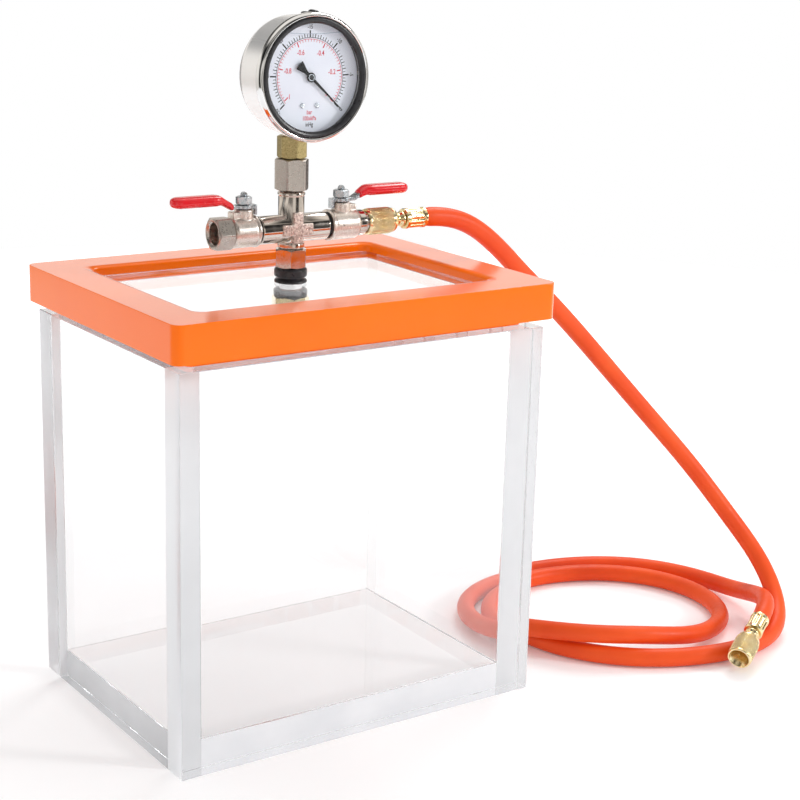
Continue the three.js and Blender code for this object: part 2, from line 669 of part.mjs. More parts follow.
// A crimped coupling: it starts at the end face of the hose and runs along direction.
function addCoupling(side, position, direction) {
  const coupling = new THREE.Group();
  coupling.position.copy(position);
  coupling.quaternion.setFromUnitVectors(new THREE.Vector3(1, 0, 0), direction);
  group.add(coupling);
  const name = (piece) => side + "_" + piece;

  const flutes = 12;
  const grip = polygon(
    Array.from({ length: flutes * 2 }, (_, i) => {
      const r = i % 2 ? 5.8 : 5.1;
      const a = (Math.PI * i) / flutes;
      return [r * Math.cos(a), r * Math.sin(a)];
    }),
  );
  const crimp = slab(grip, 2, FERRULE_END - 2).rotateY(Math.PI / 2);
  const bands = [[GAP, 2.1], [FERRULE_END - 2.1, FERRULE_END]].map(([a, b]) => turnedX(rod(5.8, a, b)));
  part(name("ferrule"), cut(join(crimp, ...bands), turnedX(rod(3, -1, 20))), BRASS, coupling);

  const tail = turnedX([
    [1.6, 1], [2.6, 1], [2.6, FERRULE_END + GAP], [4.3, FERRULE_END + GAP], [4.3, FERRULE_END + 2],
    [3.3, FERRULE_END + 3], [3.3, NUT_START + 2.2], [4.6, NUT_START + 2.2], [4.6, NUT_START + 3.8],
    [1.9, NUT_START + 6.6], [1.6, NUT_START + 6.6], [1.6, 1],
  ]);
  part(name("hose_tail"), tail, BRASS, coupling);

  const nut = turnedX(
    [
      [3.7, NUT_START], [5.4, NUT_START], [6.9, NUT_START + 1.5], [7.6, NUT_START + 4], [7.6, NUT_END - 0.4],
      [7.3, NUT_END], [6.1, NUT_END], [5.85, NUT_END - 0.4], [5.85, NUT_START + 5.2], [5, NUT_START + 4.3],
      [5, NUT_START + 1.8], [3.7, NUT_START + 1.8], [3.7, NUT_START],
    ],
    18,
  );
  part(name("hose_nut"), nut, BRASS, coupling);
}

function addHose() {
  const controls = HOSE_ROUTE.map(([x, y, z]) => new THREE.Vector4(x, y, z, 1));
  const degree = 3;
  const spans = controls.length - degree;
  const knots = [
    ...Array(degree).fill(0),
    ...Array.from({ length: spans + 1 }, (_, i) => i / spans),
    ...Array(degree).fill(1),
  ];
  const route = new NURBSCurve(degree, knots, controls);
  route.arcLengthDivisions = 1200;
  const circle = new THREE.Shape().absarc(0, 0, HOSE_R, 0, 2 * Math.PI);
  const steps = Math.round(route.getLength() / HOSE_STEP);
  const tube = new THREE.ExtrudeGeometry(circle, {
    steps, extrudePath: route, bevelEnabled: false, curveSegments: HOSE_SIDES / 2,
  });
  part("hose", tube, HOSE_RUBBER);
  addCoupling("near", route.getPointAt(0), route.getTangentAt(0).negate());
  addCoupling("far", route.getPointAt(1), route.getTangentAt(1));
}

addChamber();
addLid();
addManifold();
addValve("left", LEFT_STEM_X, femaleConnector);
addValve("right", RIGHT_STEM_X, flareConnector);
addGauge();
addHose();

export default group;
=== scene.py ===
"""Looks of a clear acrylic vacuum degassing chamber: orange-gasketed lid, cross fitting with two ball
valves, dial gauge and rubber hose. Millimetres in the shape functions, metres in the scene; +Z is up and
the gauge faces -Y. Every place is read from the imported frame, or repeats a driving size of the CAD part.
"""

import json
import math

import bmesh
import bpy
from mathutils import Matrix, Vector


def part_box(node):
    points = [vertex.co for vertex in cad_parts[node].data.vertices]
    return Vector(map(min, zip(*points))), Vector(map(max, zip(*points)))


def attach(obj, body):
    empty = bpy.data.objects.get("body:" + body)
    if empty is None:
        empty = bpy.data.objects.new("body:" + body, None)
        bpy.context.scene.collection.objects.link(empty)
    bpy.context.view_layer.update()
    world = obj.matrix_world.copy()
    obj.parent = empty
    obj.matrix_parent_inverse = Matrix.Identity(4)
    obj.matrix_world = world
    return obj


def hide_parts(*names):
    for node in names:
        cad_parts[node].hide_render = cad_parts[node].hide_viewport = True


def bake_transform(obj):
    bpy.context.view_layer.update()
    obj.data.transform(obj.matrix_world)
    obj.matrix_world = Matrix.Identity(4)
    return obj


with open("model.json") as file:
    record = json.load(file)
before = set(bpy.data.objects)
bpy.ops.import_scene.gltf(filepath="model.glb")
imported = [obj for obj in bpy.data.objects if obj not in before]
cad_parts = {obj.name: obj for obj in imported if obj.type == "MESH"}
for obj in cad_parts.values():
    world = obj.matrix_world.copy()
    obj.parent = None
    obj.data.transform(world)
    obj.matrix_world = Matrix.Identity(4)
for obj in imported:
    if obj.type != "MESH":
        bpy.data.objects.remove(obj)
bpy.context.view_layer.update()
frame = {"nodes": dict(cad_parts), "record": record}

MM = 0.001
GAP = 0.3  # clearance that the CAD part leaves between touching pieces


def low(node):
    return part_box(node)[0] / MM


def high(node):
    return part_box(node)[1] / MM


def middle(node):
    return (low(node) + high(node)) / 2


def heights(node):
    return low(node).z, high(node).z


CROSS_Z = middle("left_valve_connector").z  # axis through both valves and the hose
LEFT_STEM_X = middle("left_valve_stem").x
RIGHT_STEM_X = middle("right_valve_stem").x
GAUGE_Z = middle("gauge_bezel").z
LID_TOP = high("lid_plate").z

# ---- shader nodes


def add(tree, kind, *values, named=None, **settings):
    """A new shader node with its settings. Inputs are given in turn or by name, each a value or what
    another node puts out; None leaves one alone."""
    node = tree.nodes.new("ShaderNode" + kind)
    for key, value in settings.items():
        setattr(node, key, value)
    for key, value in [*enumerate(values), *(named or {}).items()]:
        if isinstance(value, bpy.types.Node):
            value = value.outputs[0]
        if isinstance(value, bpy.types.NodeSocket):
            tree.links.new(value, node.inputs[key])
        elif value is not None:
            node.inputs[key].default_value = value
    return node


def color_ramp(tree, source, stops):
    """A ramp of (position, colour) stops, fed by source."""
    node = add(tree, "ValToRGB", source)
    elements = node.color_ramp.elements
    while len(elements) > 1:
        elements.remove(elements[-1])
    elements[0].position = stops[0][0]
    elements[0].color = (*stops[0][1], 1)
    for position, color in stops[1:]:
        elements.new(position).color = (*color, 1)
    return node


def studio_ramp(tree, source, stops):
    """A ramp of slightly warm greys, from (position, brightness) stops."""
    return color_ramp(tree, source, [(at, (v, v * 0.98, v * 0.95)) for at, v in stops])


def blend_of(tree, factor, first, second, kind="MIX"):
    """Two colours mixed; a colour's inputs come seventh and eighth on a mix node."""
    node = add(tree, "Mix", factor, *[None] * 5, first, second, data_type="RGBA", blend_type=kind)
    return node.outputs[2]


# ---- camera, light and floor


def build_camera():
    """Stands front left of the chamber and above the lid, rolled a little."""
    place = Vector((-490.5, -815.1, 424.6)) * MM
    yaw, pitch, roll = (math.radians(a) for a in (34.771, -15.037, 1.568))
    forward = Vector((math.sin(yaw) * math.cos(pitch), math.cos(yaw) * math.cos(pitch), math.sin(pitch)))
    right = Vector((math.cos(yaw), -math.sin(yaw), 0))
    up = right.cross(forward)
    turned_right = right * math.cos(roll) + up * math.sin(roll)
    turned_up = up * math.cos(roll) - right * math.sin(roll)
    data = bpy.data.cameras.new("camera")
    data.lens = 79.1
    data.sensor_width = 36
    data.clip_start = 0.05
    data.clip_end = 50
    camera = add_object("camera", data)
    turn = Matrix((turned_right, turned_up, -forward)).transposed().to_4x4()
    camera.matrix_world = Matrix.Translation(place) @ turn
    bpy.context.scene.camera = camera


def add_object(name, data):
    made = bpy.data.objects.new(name, data)
    bpy.context.collection.objects.link(made)
    return made


def area_light(name, place, target, width, depth, watts):
    data = bpy.data.lights.new(name, "AREA")
    data.shape = "RECTANGLE"
    data.size = width
    data.size_y = depth
    data.energy = watts
    light = add_object(name, data)
    light.location = place
    light.rotation_euler = (Vector(target) - Vector(place)).to_track_quat("-Z", "Y").to_euler()
    light.visible_camera = False


def build_world():
    """White all round for what is seen directly or through the acrylic. Polished metal reflects a studio:
    a white sweep behind the object, dark gaps between panels, and a dim room on the near side."""
    world = bpy.data.worlds.new("studio")
    world.use_nodes = True
    bpy.context.scene.world = world
    tree = world.node_tree
    tree.nodes.clear()
    direction = add(tree, "TexCoord").outputs["Generated"]
    climb = add(tree, "SeparateXYZ", direction).outputs["Z"]
    sweep_side = (0.57, 0.82, 0)
    toward = add(tree, "VectorMath", direction, sweep_side, operation="DOT_PRODUCT").outputs["Value"]
    depth, height = (add(tree, "Math", way, 0.5, 0.5, operation="MULTIPLY_ADD") for way in (toward, climb))
    upper = studio_ramp(
        tree, depth, [(0, 0.75), (0.16, 0.7), (0.24, 0.1), (0.36, 0.08), (0.44, 0.9), (0.55, 1), (1, 1)],
    )
    lower = studio_ramp(
        tree,
        depth,
        [
            (0, 0.25), (0.02, 0.3), (0.035, 1.0), (0.12, 1.0), (0.17, 0.06), (0.33, 0.05), (0.4, 0.9),
            (0.76, 1.0), (0.84, 0.35), (0.92, 0.08), (1, 0.08),
        ],
    )
    rise = studio_ramp(
        tree,
        height,
        [(0, 0.6), (0.45, 0.85), (0.5, 1), (0.64, 1), (0.7, 0.12), (0.8, 0.08), (0.86, 1), (1, 1)],
    )
    above = add(tree, "MapRange", climb, 0.02, 0.14, interpolation_type="SMOOTHSTEP")
    side = blend_of(tree, above, lower, upper)
    room = add(tree, "Background", blend_of(tree, 1, side, rise, "MULTIPLY"))
    path = add(tree, "LightPath").outputs
    # what pale things scatter is a little dimmer than what is seen directly, and what shines through the
    # acrylic a little brighter
    dimmer, brighter = -0.18, 0.15
    scattered = add(tree, "Math", path["Is Diffuse Ray"], dimmer, 1.0, operation="MULTIPLY_ADD")
    through = path["Is Transmission Ray"]
    strength = add(tree, "Math", through, brighter, scattered, operation="MULTIPLY_ADD")
    white = add(tree, "Background", (1, 1, 1, 1), strength)
    mirrored = add(tree, "Math", path["Is Glossy Ray"], through, operation="SUBTRACT", use_clamp=True)
    add(tree, "OutputWorld", add(tree, "MixShader", mirrored, white, room))


def build_stage():
    build_world()
    area_light("key", (1.1, 0.6, 1.5), (0, 0, 0.15), 0.6, 0.6, 9)
    area_light("fill", (-1.4, -0.5, 0.9), (0, 0, 0.2), 0.7, 1.0, 0.3)
    area_light("front", (1.1, -1.1, 0.75), (0, 0, 0.3), 0.22, 0.22, 8)
    build_floor()
    scene = bpy.context.scene
    scene.cycles.max_bounces = 32
    scene.cycles.glossy_bounces = 32
    scene.cycles.transmission_bounces = 32
    scene.cycles.transparent_max_bounces = 24
    scene.view_settings.view_transform = "Standard"
    scene.view_settings.look = "None"


def build_floor():
    """A round white table that ends where the view is already white, and glows more towards its edge."""
    radius, sides = 1.3, 96
    mesh = bpy.data.meshes.new("floor")
    mesh.from_pydata(circle(radius, 0, sides), [], [tuple(range(sides))])
    floor = add_object("floor", mesh)
    floor.location = (0.1, 0.1, -0.0002)
    material, shader = surface("pale_floor", (0.97, 0.97, 0.975), 0.6)
    shader.inputs["Specular IOR Level"].default_value = 0.0
    shader.inputs["Emission Color"].default_value = (1, 1, 1, 1)
    tree = material.node_tree
    place = add(tree, "TexCoord").outputs["Object"]
    distance = add(tree, "VectorMath", place, operation="LENGTH").outputs["Value"]
    near, far, faint, bright = 0.3, 0.8, 0.06, 0.25
    fade = add(tree, "MapRange", distance, near, far, faint, bright)
    tree.links.new(fade.outputs[0], shader.inputs["Emission Strength"])
    mesh.materials.append(material)
    return floor


# ---- materials


def shade(red, green, blue):
    """A screen colour, 0 to 255, as a linear colour."""
    def linear(value):
        value /= 255
        return value / 12.92 if value <= 0.04045 else ((value + 0.055) / 1.055) ** 2.4
    return (linear(red), linear(green), linear(blue))


def surface(name, color, roughness, metallic=0.0):
    """A new material and its Principled shader."""
    material = bpy.data.materials.new(name)
    material.use_nodes = True
    shader = material.node_tree.nodes["Principled BSDF"]
    shader.inputs["Base Color"].default_value = (*color, 1)
    shader.inputs["Roughness"].default_value = roughness
    shader.inputs["Metallic"].default_value = metallic
    return material, shader


def noise(tree, scale, detail=4, stretch=(1, 1, 1), distortion=0.0):
    """A noise pattern in the part's own coordinates; scale is waves per metre."""
    place = add(tree, "TexCoord").outputs["Object"]
    stretched = add(tree, "Mapping", place, named={"Scale": stretch})
    settings = {"Scale": scale, "Detail": detail, "Distortion": distortion}
    return add(tree, "TexNoise", stretched, named=settings).outputs["Fac"]


def spread(tree, pattern, lowest, highest):
    """Most of a noise pattern's values spread from lowest to highest."""
    return add(tree, "MapRange", pattern, 0.3, 0.7, lowest, highest)


FINISHES = {}


def look(name, color, roughness, metallic=0, tones=None, gloss=None, relief=None, **sockets):
    """A Principled material in a screen colour. tones is a noise and two colours, gloss a noise and two
    roughnesses, relief a noise with a bump's strength and distance; sockets have _ for each space."""
    material, shader = surface(name, shade(*color), roughness, metallic)
    tree = material.node_tree
    if tones:
        pattern, dark, light, *span = tones
        start, end = span or (0.3, 0.7)
        colors = color_ramp(tree, noise(tree, *pattern), [(start, shade(*dark)), (end, shade(*light))])
        tree.links.new(colors.outputs[0], shader.inputs["Base Color"])
    if gloss:
        pattern, smoothest, roughest = gloss
        rough = spread(tree, noise(tree, *pattern), smoothest, roughest)
        tree.links.new(rough.outputs[0], shader.inputs["Roughness"])
    if relief:
        pattern, strength, distance = relief
        settings = {"Strength": strength, "Distance": distance, "Height": noise(tree, *pattern)}
        tree.links.new(add(tree, "Bump", named=settings).outputs[0], shader.inputs["Normal"])
    for key, value in sockets.items():
        shader.inputs[key.replace("_", " ")].default_value = value
    FINISHES[name] = material
    return tree, shader


def output_of(tree):
    return next(node for node in tree.nodes if node.type == "OUTPUT_MATERIAL")


def dull_panel_ends(tree, shader):
    """The front and back panels run the full width; their sawn ends at the two sides are a little dull."""
    split = add(tree, "SeparateXYZ", add(tree, "TexCoord").outputs["Object"])
    masks = []
    inset, smoothest, roughest, dull = 0.1, 0, 0.03, 0.38
    for axis, limit in ((0, high("front_wall").x - inset), (1, -high("front_wall").y + inset)):
        size = add(tree, "Math", split.outputs[axis], operation="ABSOLUTE")
        masks.append(add(tree, "Math", size, limit * MM, operation="GREATER_THAN"))
    both = add(tree, "Math", *masks, operation="MULTIPLY")
    fine = spread(tree, noise(tree, 60, 3), smoothest, roughest)
    rough = add(tree, "Math", both, dull, fine, operation="MULTIPLY_ADD")
    tree.links.new(rough.outputs[0], shader.inputs["Roughness"])


def let_light_through(tree, shader):
    """Lamps and the light scattered by pale things pass straight through the clear walls."""
    path = add(tree, "LightPath").outputs
    either = add(tree, "Math", path["Is Shadow Ray"], path["Is Diffuse Ray"], operation="MAXIMUM")
    passed = 0.965
    clear = add(tree, "BsdfTransparent", (passed, passed, passed, 1))
    mix = add(tree, "MixShader", either, shader, clear)
    tree.links.new(mix.outputs[0], output_of(tree).inputs["Surface"])


def absorb(tree, color, density):
    """Tints what is seen through a thick piece, so that long paths along its edges go grey."""
    volume = add(tree, "VolumeAbsorption", (*color, 1), density)
    tree.links.new(volume.outputs[0], output_of(tree).inputs["Volume"])


def build_clear_finishes():
    white = (255, 255, 255)
    tree, shader = look("clear_acrylic", white, 0.02, Transmission_Weight=1, IOR=1.49)
    dull_panel_ends(tree, shader)
    absorb(tree, (0.76, 0.765, 0.775), 7.6)
    let_light_through(tree, shader)
    clear = {"Transmission_Weight": 1, "IOR": 1.45}
    tree, shader = look("gauge_glass", white, 0.01, gloss=((90, 2), 0.0, 0.015), **clear)
    shader.inputs["Base Color"].default_value = (0.98, 0.99, 1.0, 1)
    let_light_through(tree, shader)


def build_plastic_finishes():
    dull_edge = {"Specular_IOR_Level": 0.1}
    # Grey joint faces: partly the sawn edge's own dull tone, partly painted shade for the light seen along
    # the thick panels.
    look(
        "sawn_joint_and_painted_shade", (222, 224, 227), 0.6,
        tones=((25, 3), (219, 220, 222), (229, 230, 232)), **dull_edge,
    )
    # A lighter copy of the joint faces for the front edge of the base: painted light.
    look(
        "painted_lighter_joint", (238, 239, 241), 0.6,
        tones=((25, 3), (234, 235, 238), (246, 246, 248)), **dull_edge,
    )
    look(
        "orange_silicone", (250, 110, 25), 0.36,
        tones=((18, 3), (252, 110, 2), (255, 116, 4)),
        gloss=((220, 5), 0.16, 0.24),
        relief=((1500, 4), 0.02, 0.0001),
        Specular_IOR_Level=0.12, Sheen_Weight=0.8, Sheen_Roughness=0.2,
        Coat_Weight=1.0, Coat_Roughness=0.15, Coat_IOR=1.22,
    )
    look(
        "black_rubber", (28, 28, 32), 0.32,
        tones=((300, 4), (20, 20, 23), (38, 38, 43)),
        gloss=((500, 4), 0.24, 0.42),
        relief=((2500, 4), 0.08, 0.0001),
    )
    look(
        "hose_rubber", (236, 84, 40), 0.45,
        tones=((30, 4), (228, 70, 14), (240, 86, 24)),
        gloss=((400, 4), 0.38, 0.52),
        relief=((1400, 5), 0.12, 0.0002),
        Specular_IOR_Level=0.3,
    )
    look("ptfe", (240, 240, 238), 0.4, gloss=((500, 4), 0.32, 0.5))
    look(
        "red_vinyl", (206, 22, 34), 0.22,
        tones=((80, 3), (214, 14, 26), (230, 22, 36)),
        gloss=((250, 4), 0.16, 0.3),
        relief=((260, 2), 0.08, 0.0004),
        Coat_Weight=0.3, Coat_Roughness=0.1,
    )
    look("dial_white", (240, 242, 250), 0.45, tones=((50, 2), (228, 232, 243), (236, 240, 249)))
    look("black_paint", (10, 10, 12), 0.5, gloss=((900, 4), 0.42, 0.6), Specular_IOR_Level=0.08)
    look(
        "red_ink", (214, 40, 66), 0.5,
        tones=((2000, 4), (206, 30, 56), (222, 52, 78)), Specular_IOR_Level=0.1,
    )
    look("liquid_edge", (150, 165, 185), 0.15, tones=((200, 4), (140, 156, 178), (172, 184, 200)))


def build_metal_finishes():
    look(
        "polished_nickel", (214, 205, 196), 0.1, 1,
        gloss=((300, 4), 0.07, 0.16), relief=((160, 2), 0.03, 0.0003),
    )
    look(
        "satin_nickel", (198, 190, 182), 0.3, 1,
        gloss=((900, 5), 0.24, 0.38), relief=((2600, 4), 0.12, 0.0001),
    )
    look(
        "cast_nickel", (206, 197, 188), 0.3, 1,
        tones=((1300, 5), (214, 202, 192), (243, 234, 226), 0.3, 0.6),
        gloss=((500, 4), 0.26, 0.42),
        relief=((1300, 5), 0.35, 0.0003),
    )
    mottled = (900, 6, (1, 1, 1), 0.6)
    look(
        "rough_casting", (200, 182, 172), 0.34, 1,
        tones=(mottled, (172, 150, 142), (236, 224, 216), 0.35, 0.6),
        gloss=((700, 4), 0.22, 0.5),
        relief=(mottled, 0.6, 0.0005),
    )
    brushed = (90, 4, (1, 0.05, 1))
    look("satin_steel", (238, 237, 236), 0.26, 0.6, gloss=(brushed, 0.2, 0.32))
    look("polished_steel", (228, 228, 228), 0.07, 1, gloss=((200, 4), 0.04, 0.12))
    look(
        "zinc", (196, 202, 206), 0.28, 1,
        tones=((700, 3), (176, 184, 190), (212, 216, 220)), gloss=((700, 3), 0.2, 0.36),
    )
    look(
        "brass", (230, 192, 110), 0.2, 1,
        tones=((220, 4), (240, 212, 150), (252, 238, 196)), gloss=((800, 4), 0.14, 0.28),
    )
    grain = (1600, 5)
    look(
        "olive_brass", (190, 172, 118), 0.34, 1,
        tones=(grain, (150, 132, 84), (206, 190, 140)),
        gloss=(grain, 0.26, 0.45),
        relief=(grain, 0.3, 0.0002),
    )


# ---- shape helpers, in millimetres

SIDES = 96
UP = Matrix.Identity(4)


def along_x(x=0.0, y=0.0, z=0.0):
    """Turns a shape made on the Z axis so that it points along +X from the given point."""
    return Matrix.Translation((x, y, z)) @ Matrix.Rotation(math.radians(90), 4, "Y")


def facing_front(x=0.0, z=0.0):
    """Turns a shape made on the Z axis so that its height runs along Y, from the given x and z."""
    return Matrix.Translation((x, 0, z)) @ Matrix.Rotation(math.radians(-90), 4, "X")


def circle(radius, height=0.0, sides=SIDES):
    """Points round the Z axis; the radius may follow the angle."""
    points = []
    for a in (2 * math.pi * i / sides for i in range(sides)):
        r = radius(a) if callable(radius) else radius
        points.append((r * math.cos(a), r * math.sin(a), height))
    return points


def rounded_corner(start, corner, end, s):
    """A point on the soft curve that leaves start, turns at the corner and reaches end."""
    return (1 - s) ** 2 * start + 2 * s * (1 - s) * corner + s * s * end


def build(name, points, faces, place=UP, sharp=32):
    """A mesh object from points in millimetres, with its faces turned outward and sharp edges kept."""
    mesh = bpy.data.meshes.new(name)
    mesh.from_pydata([(place @ Vector(p)) * MM for p in points], [], faces)
    work = bmesh.new()
    work.from_mesh(mesh)
    bmesh.ops.remove_doubles(work, verts=work.verts, dist=2e-7)
    bmesh.ops.recalc_face_normals(work, faces=work.faces)
    work.to_mesh(mesh)
    work.free()
    piece = add_object(name, mesh)
    smooth(piece, sharp)
    return piece


def smooth(piece, sharp=32, weighted=True):
    """Smooth shading with sharp edges kept; weighting by area keeps flat faces flat beside their bevels."""
    piece.data.shade_smooth()
    piece.data.set_sharp_from_angle(angle=math.radians(sharp))
    if weighted:
        normals = piece.modifiers.new("normals", "WEIGHTED_NORMAL")
        normals.keep_sharp = True
        bake(piece)


def loft(name, rings, place=UP, sharp=32, caps=True):
    """Skins rings of equal point counts. A first ring that comes back at the end makes a closed loop;
    otherwise the two end rings are capped, unless they shrink to a point by themselves."""
    wrap = rings[0] == rings[-1]
    if wrap:
        rings = rings[:-1]
    count = len(rings[0])
    faces = []
    for k in range(len(rings) if wrap else len(rings) - 1):
        a = k * count
        b = (k + 1) % len(rings) * count
        faces += [(a + i, a + (i + 1) % count, b + (i + 1) % count, b + i) for i in range(count)]
    if caps and not wrap:
        last = (len(rings) - 1) * count
        faces += [tuple(range(count)), tuple(last + i for i in reversed(range(count)))]
    return build(name, [p for ring in rings for p in ring], faces, place, sharp)


BOX_FACES = ((3, 2, 1, 0), (4, 5, 6, 7), (0, 1, 5, 4), (1, 2, 6, 5), (2, 3, 7, 6), (3, 0, 4, 7))


def boxes(name, corner_sets):
    """Small boxes joined in one piece, each from the four corners of its one end and of its other."""
    points, faces = [], []
    for corners in corner_sets:
        faces += [tuple(len(points) + i for i in face) for face in BOX_FACES]
        points += corners
    return build(name, points, faces)


def soften(profile, radius, steps=4):
    """The profile with its corners rounded. A profile whose ends meet is rounded all the way round."""
    points = [Vector(p) for p in profile]
    closed = (points[0] - points[-1]).length < 1e-9
    if closed:
        points = points[:-1]
    made = []
    for i, corner in enumerate(points):
        if not closed and i in (0, len(points) - 1):
            made.append(tuple(corner))
            continue
        before = points[i - 1] - corner
        after = points[(i + 1) % len(points)] - corner
        reach = min(radius, before.length * 0.45, after.length * 0.45)
        start = corner + before.normalized() * reach
        end = corner + after.normalized() * reach
        for k in range(steps + 1):
            made.append(tuple(rounded_corner(start, corner, end, k / steps)))
    if closed:
        made.append(made[0])
    return made


def turned(name, profile, place=UP, sides=SIDES, sharp=32):
    """A turned shape on the Z axis from a profile of (radius, height) points, closed or from axis to axis."""
    return loft(name, [circle(r, h, sides) for r, h in profile], place, sharp, caps=False)


def ring_profile(inner, outer, h0, h1):
    return [(inner, h0), (outer, h0), (outer, h1), (inner, h1), (inner, h0)]


def rod_profile(radius, h0, h1):
    return [(0, h0), (radius, h0), (radius, h1), (0, h1)]


def thread_profile(outer, inner, h0, h1, pitch=1.2):
    """Points down the crests and roots of a screw thread from h0 to h1."""
    turns = int(abs(h1 - h0) / pitch)
    step = (h1 - h0) / turns
    points = []
    for i in range(turns):
        points += [(inner, h0 + i * step), (outer, h0 + (i + 0.5) * step)]
    return points + [(inner, h1)]


def sleeve_profile(bore, crest, root, shoulder, start, thread_end, end, pitch=1.2):
    """A threaded sleeve that ends in a plain shoulder."""
    thread = thread_profile(crest, root, start, thread_end, pitch)
    return [(bore, start), *thread, (shoulder, end), (bore, end), (bore, start)]


def hexagon_ring(across_flats, corner, per_side=9):
    """Points round a hexagon with rounded corners and a flat facing -Y."""
    size = across_flats / math.sqrt(3)
    corners = [Vector((math.cos(k * math.pi / 3), math.sin(k * math.pi / 3))) * size for k in range(6)]
    points = []
    for k in range(6):
        here = corners[k]
        toward_last = (corners[k - 1] - here).normalized() * corner
        toward_next = (corners[(k + 1) % 6] - here).normalized() * corner
        start = here + toward_next
        for s in (0, 0.25, 0.5, 0.75, 1):
            points.append(rounded_corner(here + toward_last, here, start, s))
        end = corners[(k + 1) % 6] - toward_next
        points += [start.lerp(end, i / per_side) for i in range(1, per_side)]
    return points


def hexagon_nut(name, across_flats, h0, h1, bore=0.0, turn=0.0, corner=0.5, face=0.96, place=UP):
    """A hexagon whose ends are turned to a cone, as every nut's are; face is the flat end's radius as a
    share of half the distance across the flats."""
    spin = Matrix.Rotation(math.radians(turn), 2)
    outline = [spin @ p for p in hexagon_ring(across_flats, corner)]
    flat = across_flats / 2 * face
    slope = math.tan(math.radians(28))

    def ring(is_end, height, sign):
        made = []
        for p in outline:
            r = min(p.length, flat) if is_end else p.length
            q = p.normalized() * r
            made.append((q.x, q.y, height + sign * max(0.0, r - flat) * slope))
        return made

    def hole(height):
        return [(p.normalized().x * bore, p.normalized().y * bore, height) for p in outline]

    rings = [hole(h0), ring(True, h0, 1), ring(False, h0, 1)]
    rings += [ring(False, h1, -1), ring(True, h1, -1), hole(h1)]
    if bore:
        rings.append(rings[0])
    return loft(name, rings, place, caps=False)


def rounded_rectangle(half_x, half_y, radius, steps=10):
    """Points round a rectangle with rounded corners."""
    points = []
    for sx, sy, start in ((1, 1, 0), (-1, 1, 90), (-1, -1, 180), (1, -1, 270)):
        for i in range(steps + 1):
            a = math.radians(start + 90 * i / steps)
            points.append((
                sx * (half_x - radius) + radius * math.cos(a),
                sy * (half_y - radius) + radius * math.sin(a),
            ))
    return points


def slab(name, outline, h0, h1, bevel=0.3, place=UP):
    """A flat outline with rounded rims, extruded along Z."""
    def grown(amount):
        count = len(outline)
        made = []
        for i in range(count):
            a, b, c = (Vector(outline[j % count]) for j in (i - 1, i, i + 1))
            one = (b - a).normalized()
            two = (c - b).normalized()
            out = Vector((one.y + two.y, -one.x - two.x)).normalized()
            made.append(b + out * amount / max(0.35, out.dot(Vector((one.y, -one.x)))))
        return made
    rings = []
    for amount, height in (
        (-bevel, h0), (-bevel * 0.3, h0 + bevel * 0.3), (0, h0 + bevel),
        (0, h1 - bevel), (-bevel * 0.3, h1 - bevel * 0.3), (-bevel, h1),
    ):
        rings.append([(p.x, p.y, height) for p in grown(amount)])
    return loft(name, rings, place)


def block(name, x0, x1, y0, y1, z0, z1, bevel=0.3, place=UP):
    return slab(name, [(x0, y0), (x1, y0), (x1, y1), (x0, y1)], z0, z1, bevel, place)


def combine(base, others, operation):
    """Adds or takes away closed shapes exactly, and removes the shapes that were used."""
    for other in others:
        step = base.modifiers.new("step", "BOOLEAN")
        step.object = other
        step.operation = operation
        step.solver = "EXACT"
    bake(base)
    for other in others:
        bpy.data.objects.remove(other, do_unlink=True)
    return base


def drill(radius, start, end, place=UP, sides=48):
    """A rod that cuts a hole."""
    return turned("drill", rod_profile(radius, start, end), place, sides)


def cut(piece, cutters, sharp):
    """Takes the cutters out of a piece and shades its new edges."""
    combine(piece, cutters, "DIFFERENCE")
    smooth(piece, sharp)


def bake(piece):
    """Applies a piece's modifiers to its mesh."""
    graph = bpy.context.evaluated_depsgraph_get()
    mesh = bpy.data.meshes.new_from_object(piece.evaluated_get(graph))
    piece.modifiers.clear()
    piece.data = mesh


def cast_shape(piece, voxel=0.28, rounds=6):
    """Melts a union of plain shapes into one casting with small fillets."""
    remesh = piece.modifiers.new("remesh", "REMESH")
    remesh.mode = "VOXEL"
    remesh.voxel_size = voxel * MM
    relax = piece.modifiers.new("relax", "SMOOTH")
    relax.factor = 0.5
    relax.iterations = rounds
    bake(piece)
    smooth(piece, 40, weighted=False)
    return piece


def show(piece, body, slot, *nodes, finish=None):
    """Gives a piece its finish, sets it on its body and hides the CAD nodes that it stands for."""
    if not piece.data.materials:
        piece.data.materials.append(FINISHES[finish or slot])
    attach(piece, body)
    if nodes:
        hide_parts(*nodes)
    return piece


def lathe(name, profile, body, slot, *nodes, soft=0.0, steps=4, finish=None, **shape):
    """A turned piece, its corners rounded by soft, shown on its body."""
    if soft:
        profile = soften(profile, soft, steps)
    return show(turned(name, profile, **shape), body, slot, *nodes, finish=finish)


def hexagon(name, across_flats, h0, h1, body, slot, *nodes, finish=None, **shape):
    """A hexagonal piece, shown on its body."""
    return show(hexagon_nut(name, across_flats, h0, h1, **shape), body, slot, *nodes, finish=finish)


# ---- hose

HOSE_RADIUS = 5.5
# The route's control points, the same as the CAD part's.
HOSE_ROUTE = [
    (88.5, 0, 265), (108, 0, 265), (131, 0, 255), (158, 0, 229), (190, -2, 201), (224, -6, 166),
    (257, -13, 130), (288, -26, 94), (308, -43, 61), (319, -64, 36), (313, -88, 15.5), (292, -109, 6),
    (261, -118, 5.6), (222, -113, 5.6), (188, -96, 5.6), (162, -68, 5.6), (151, -32, 5.6), (155, 6, 5.6),
    (179, 37, 5.6), (217, 46, 5.6), (259, 35, 5.6), (290, 7, 5.6), (300, -35, 5.6), (282, -76, 5.6),
    (241, -95, 8), (200, -92, 17), (167, -76, 18.5), (146, -45, 16), (139, -6, 8), (153, 34, 5.6),
    (186, 55, 5.6), (224, 58, 5.6), (264, 49, 5.6), (298, 26, 5.6), (317, -10, 5.6), (316, -48, 8),
    (302, -83, 20), (284.4, -107.1, 26.5), (269, -115, 21.2),
]


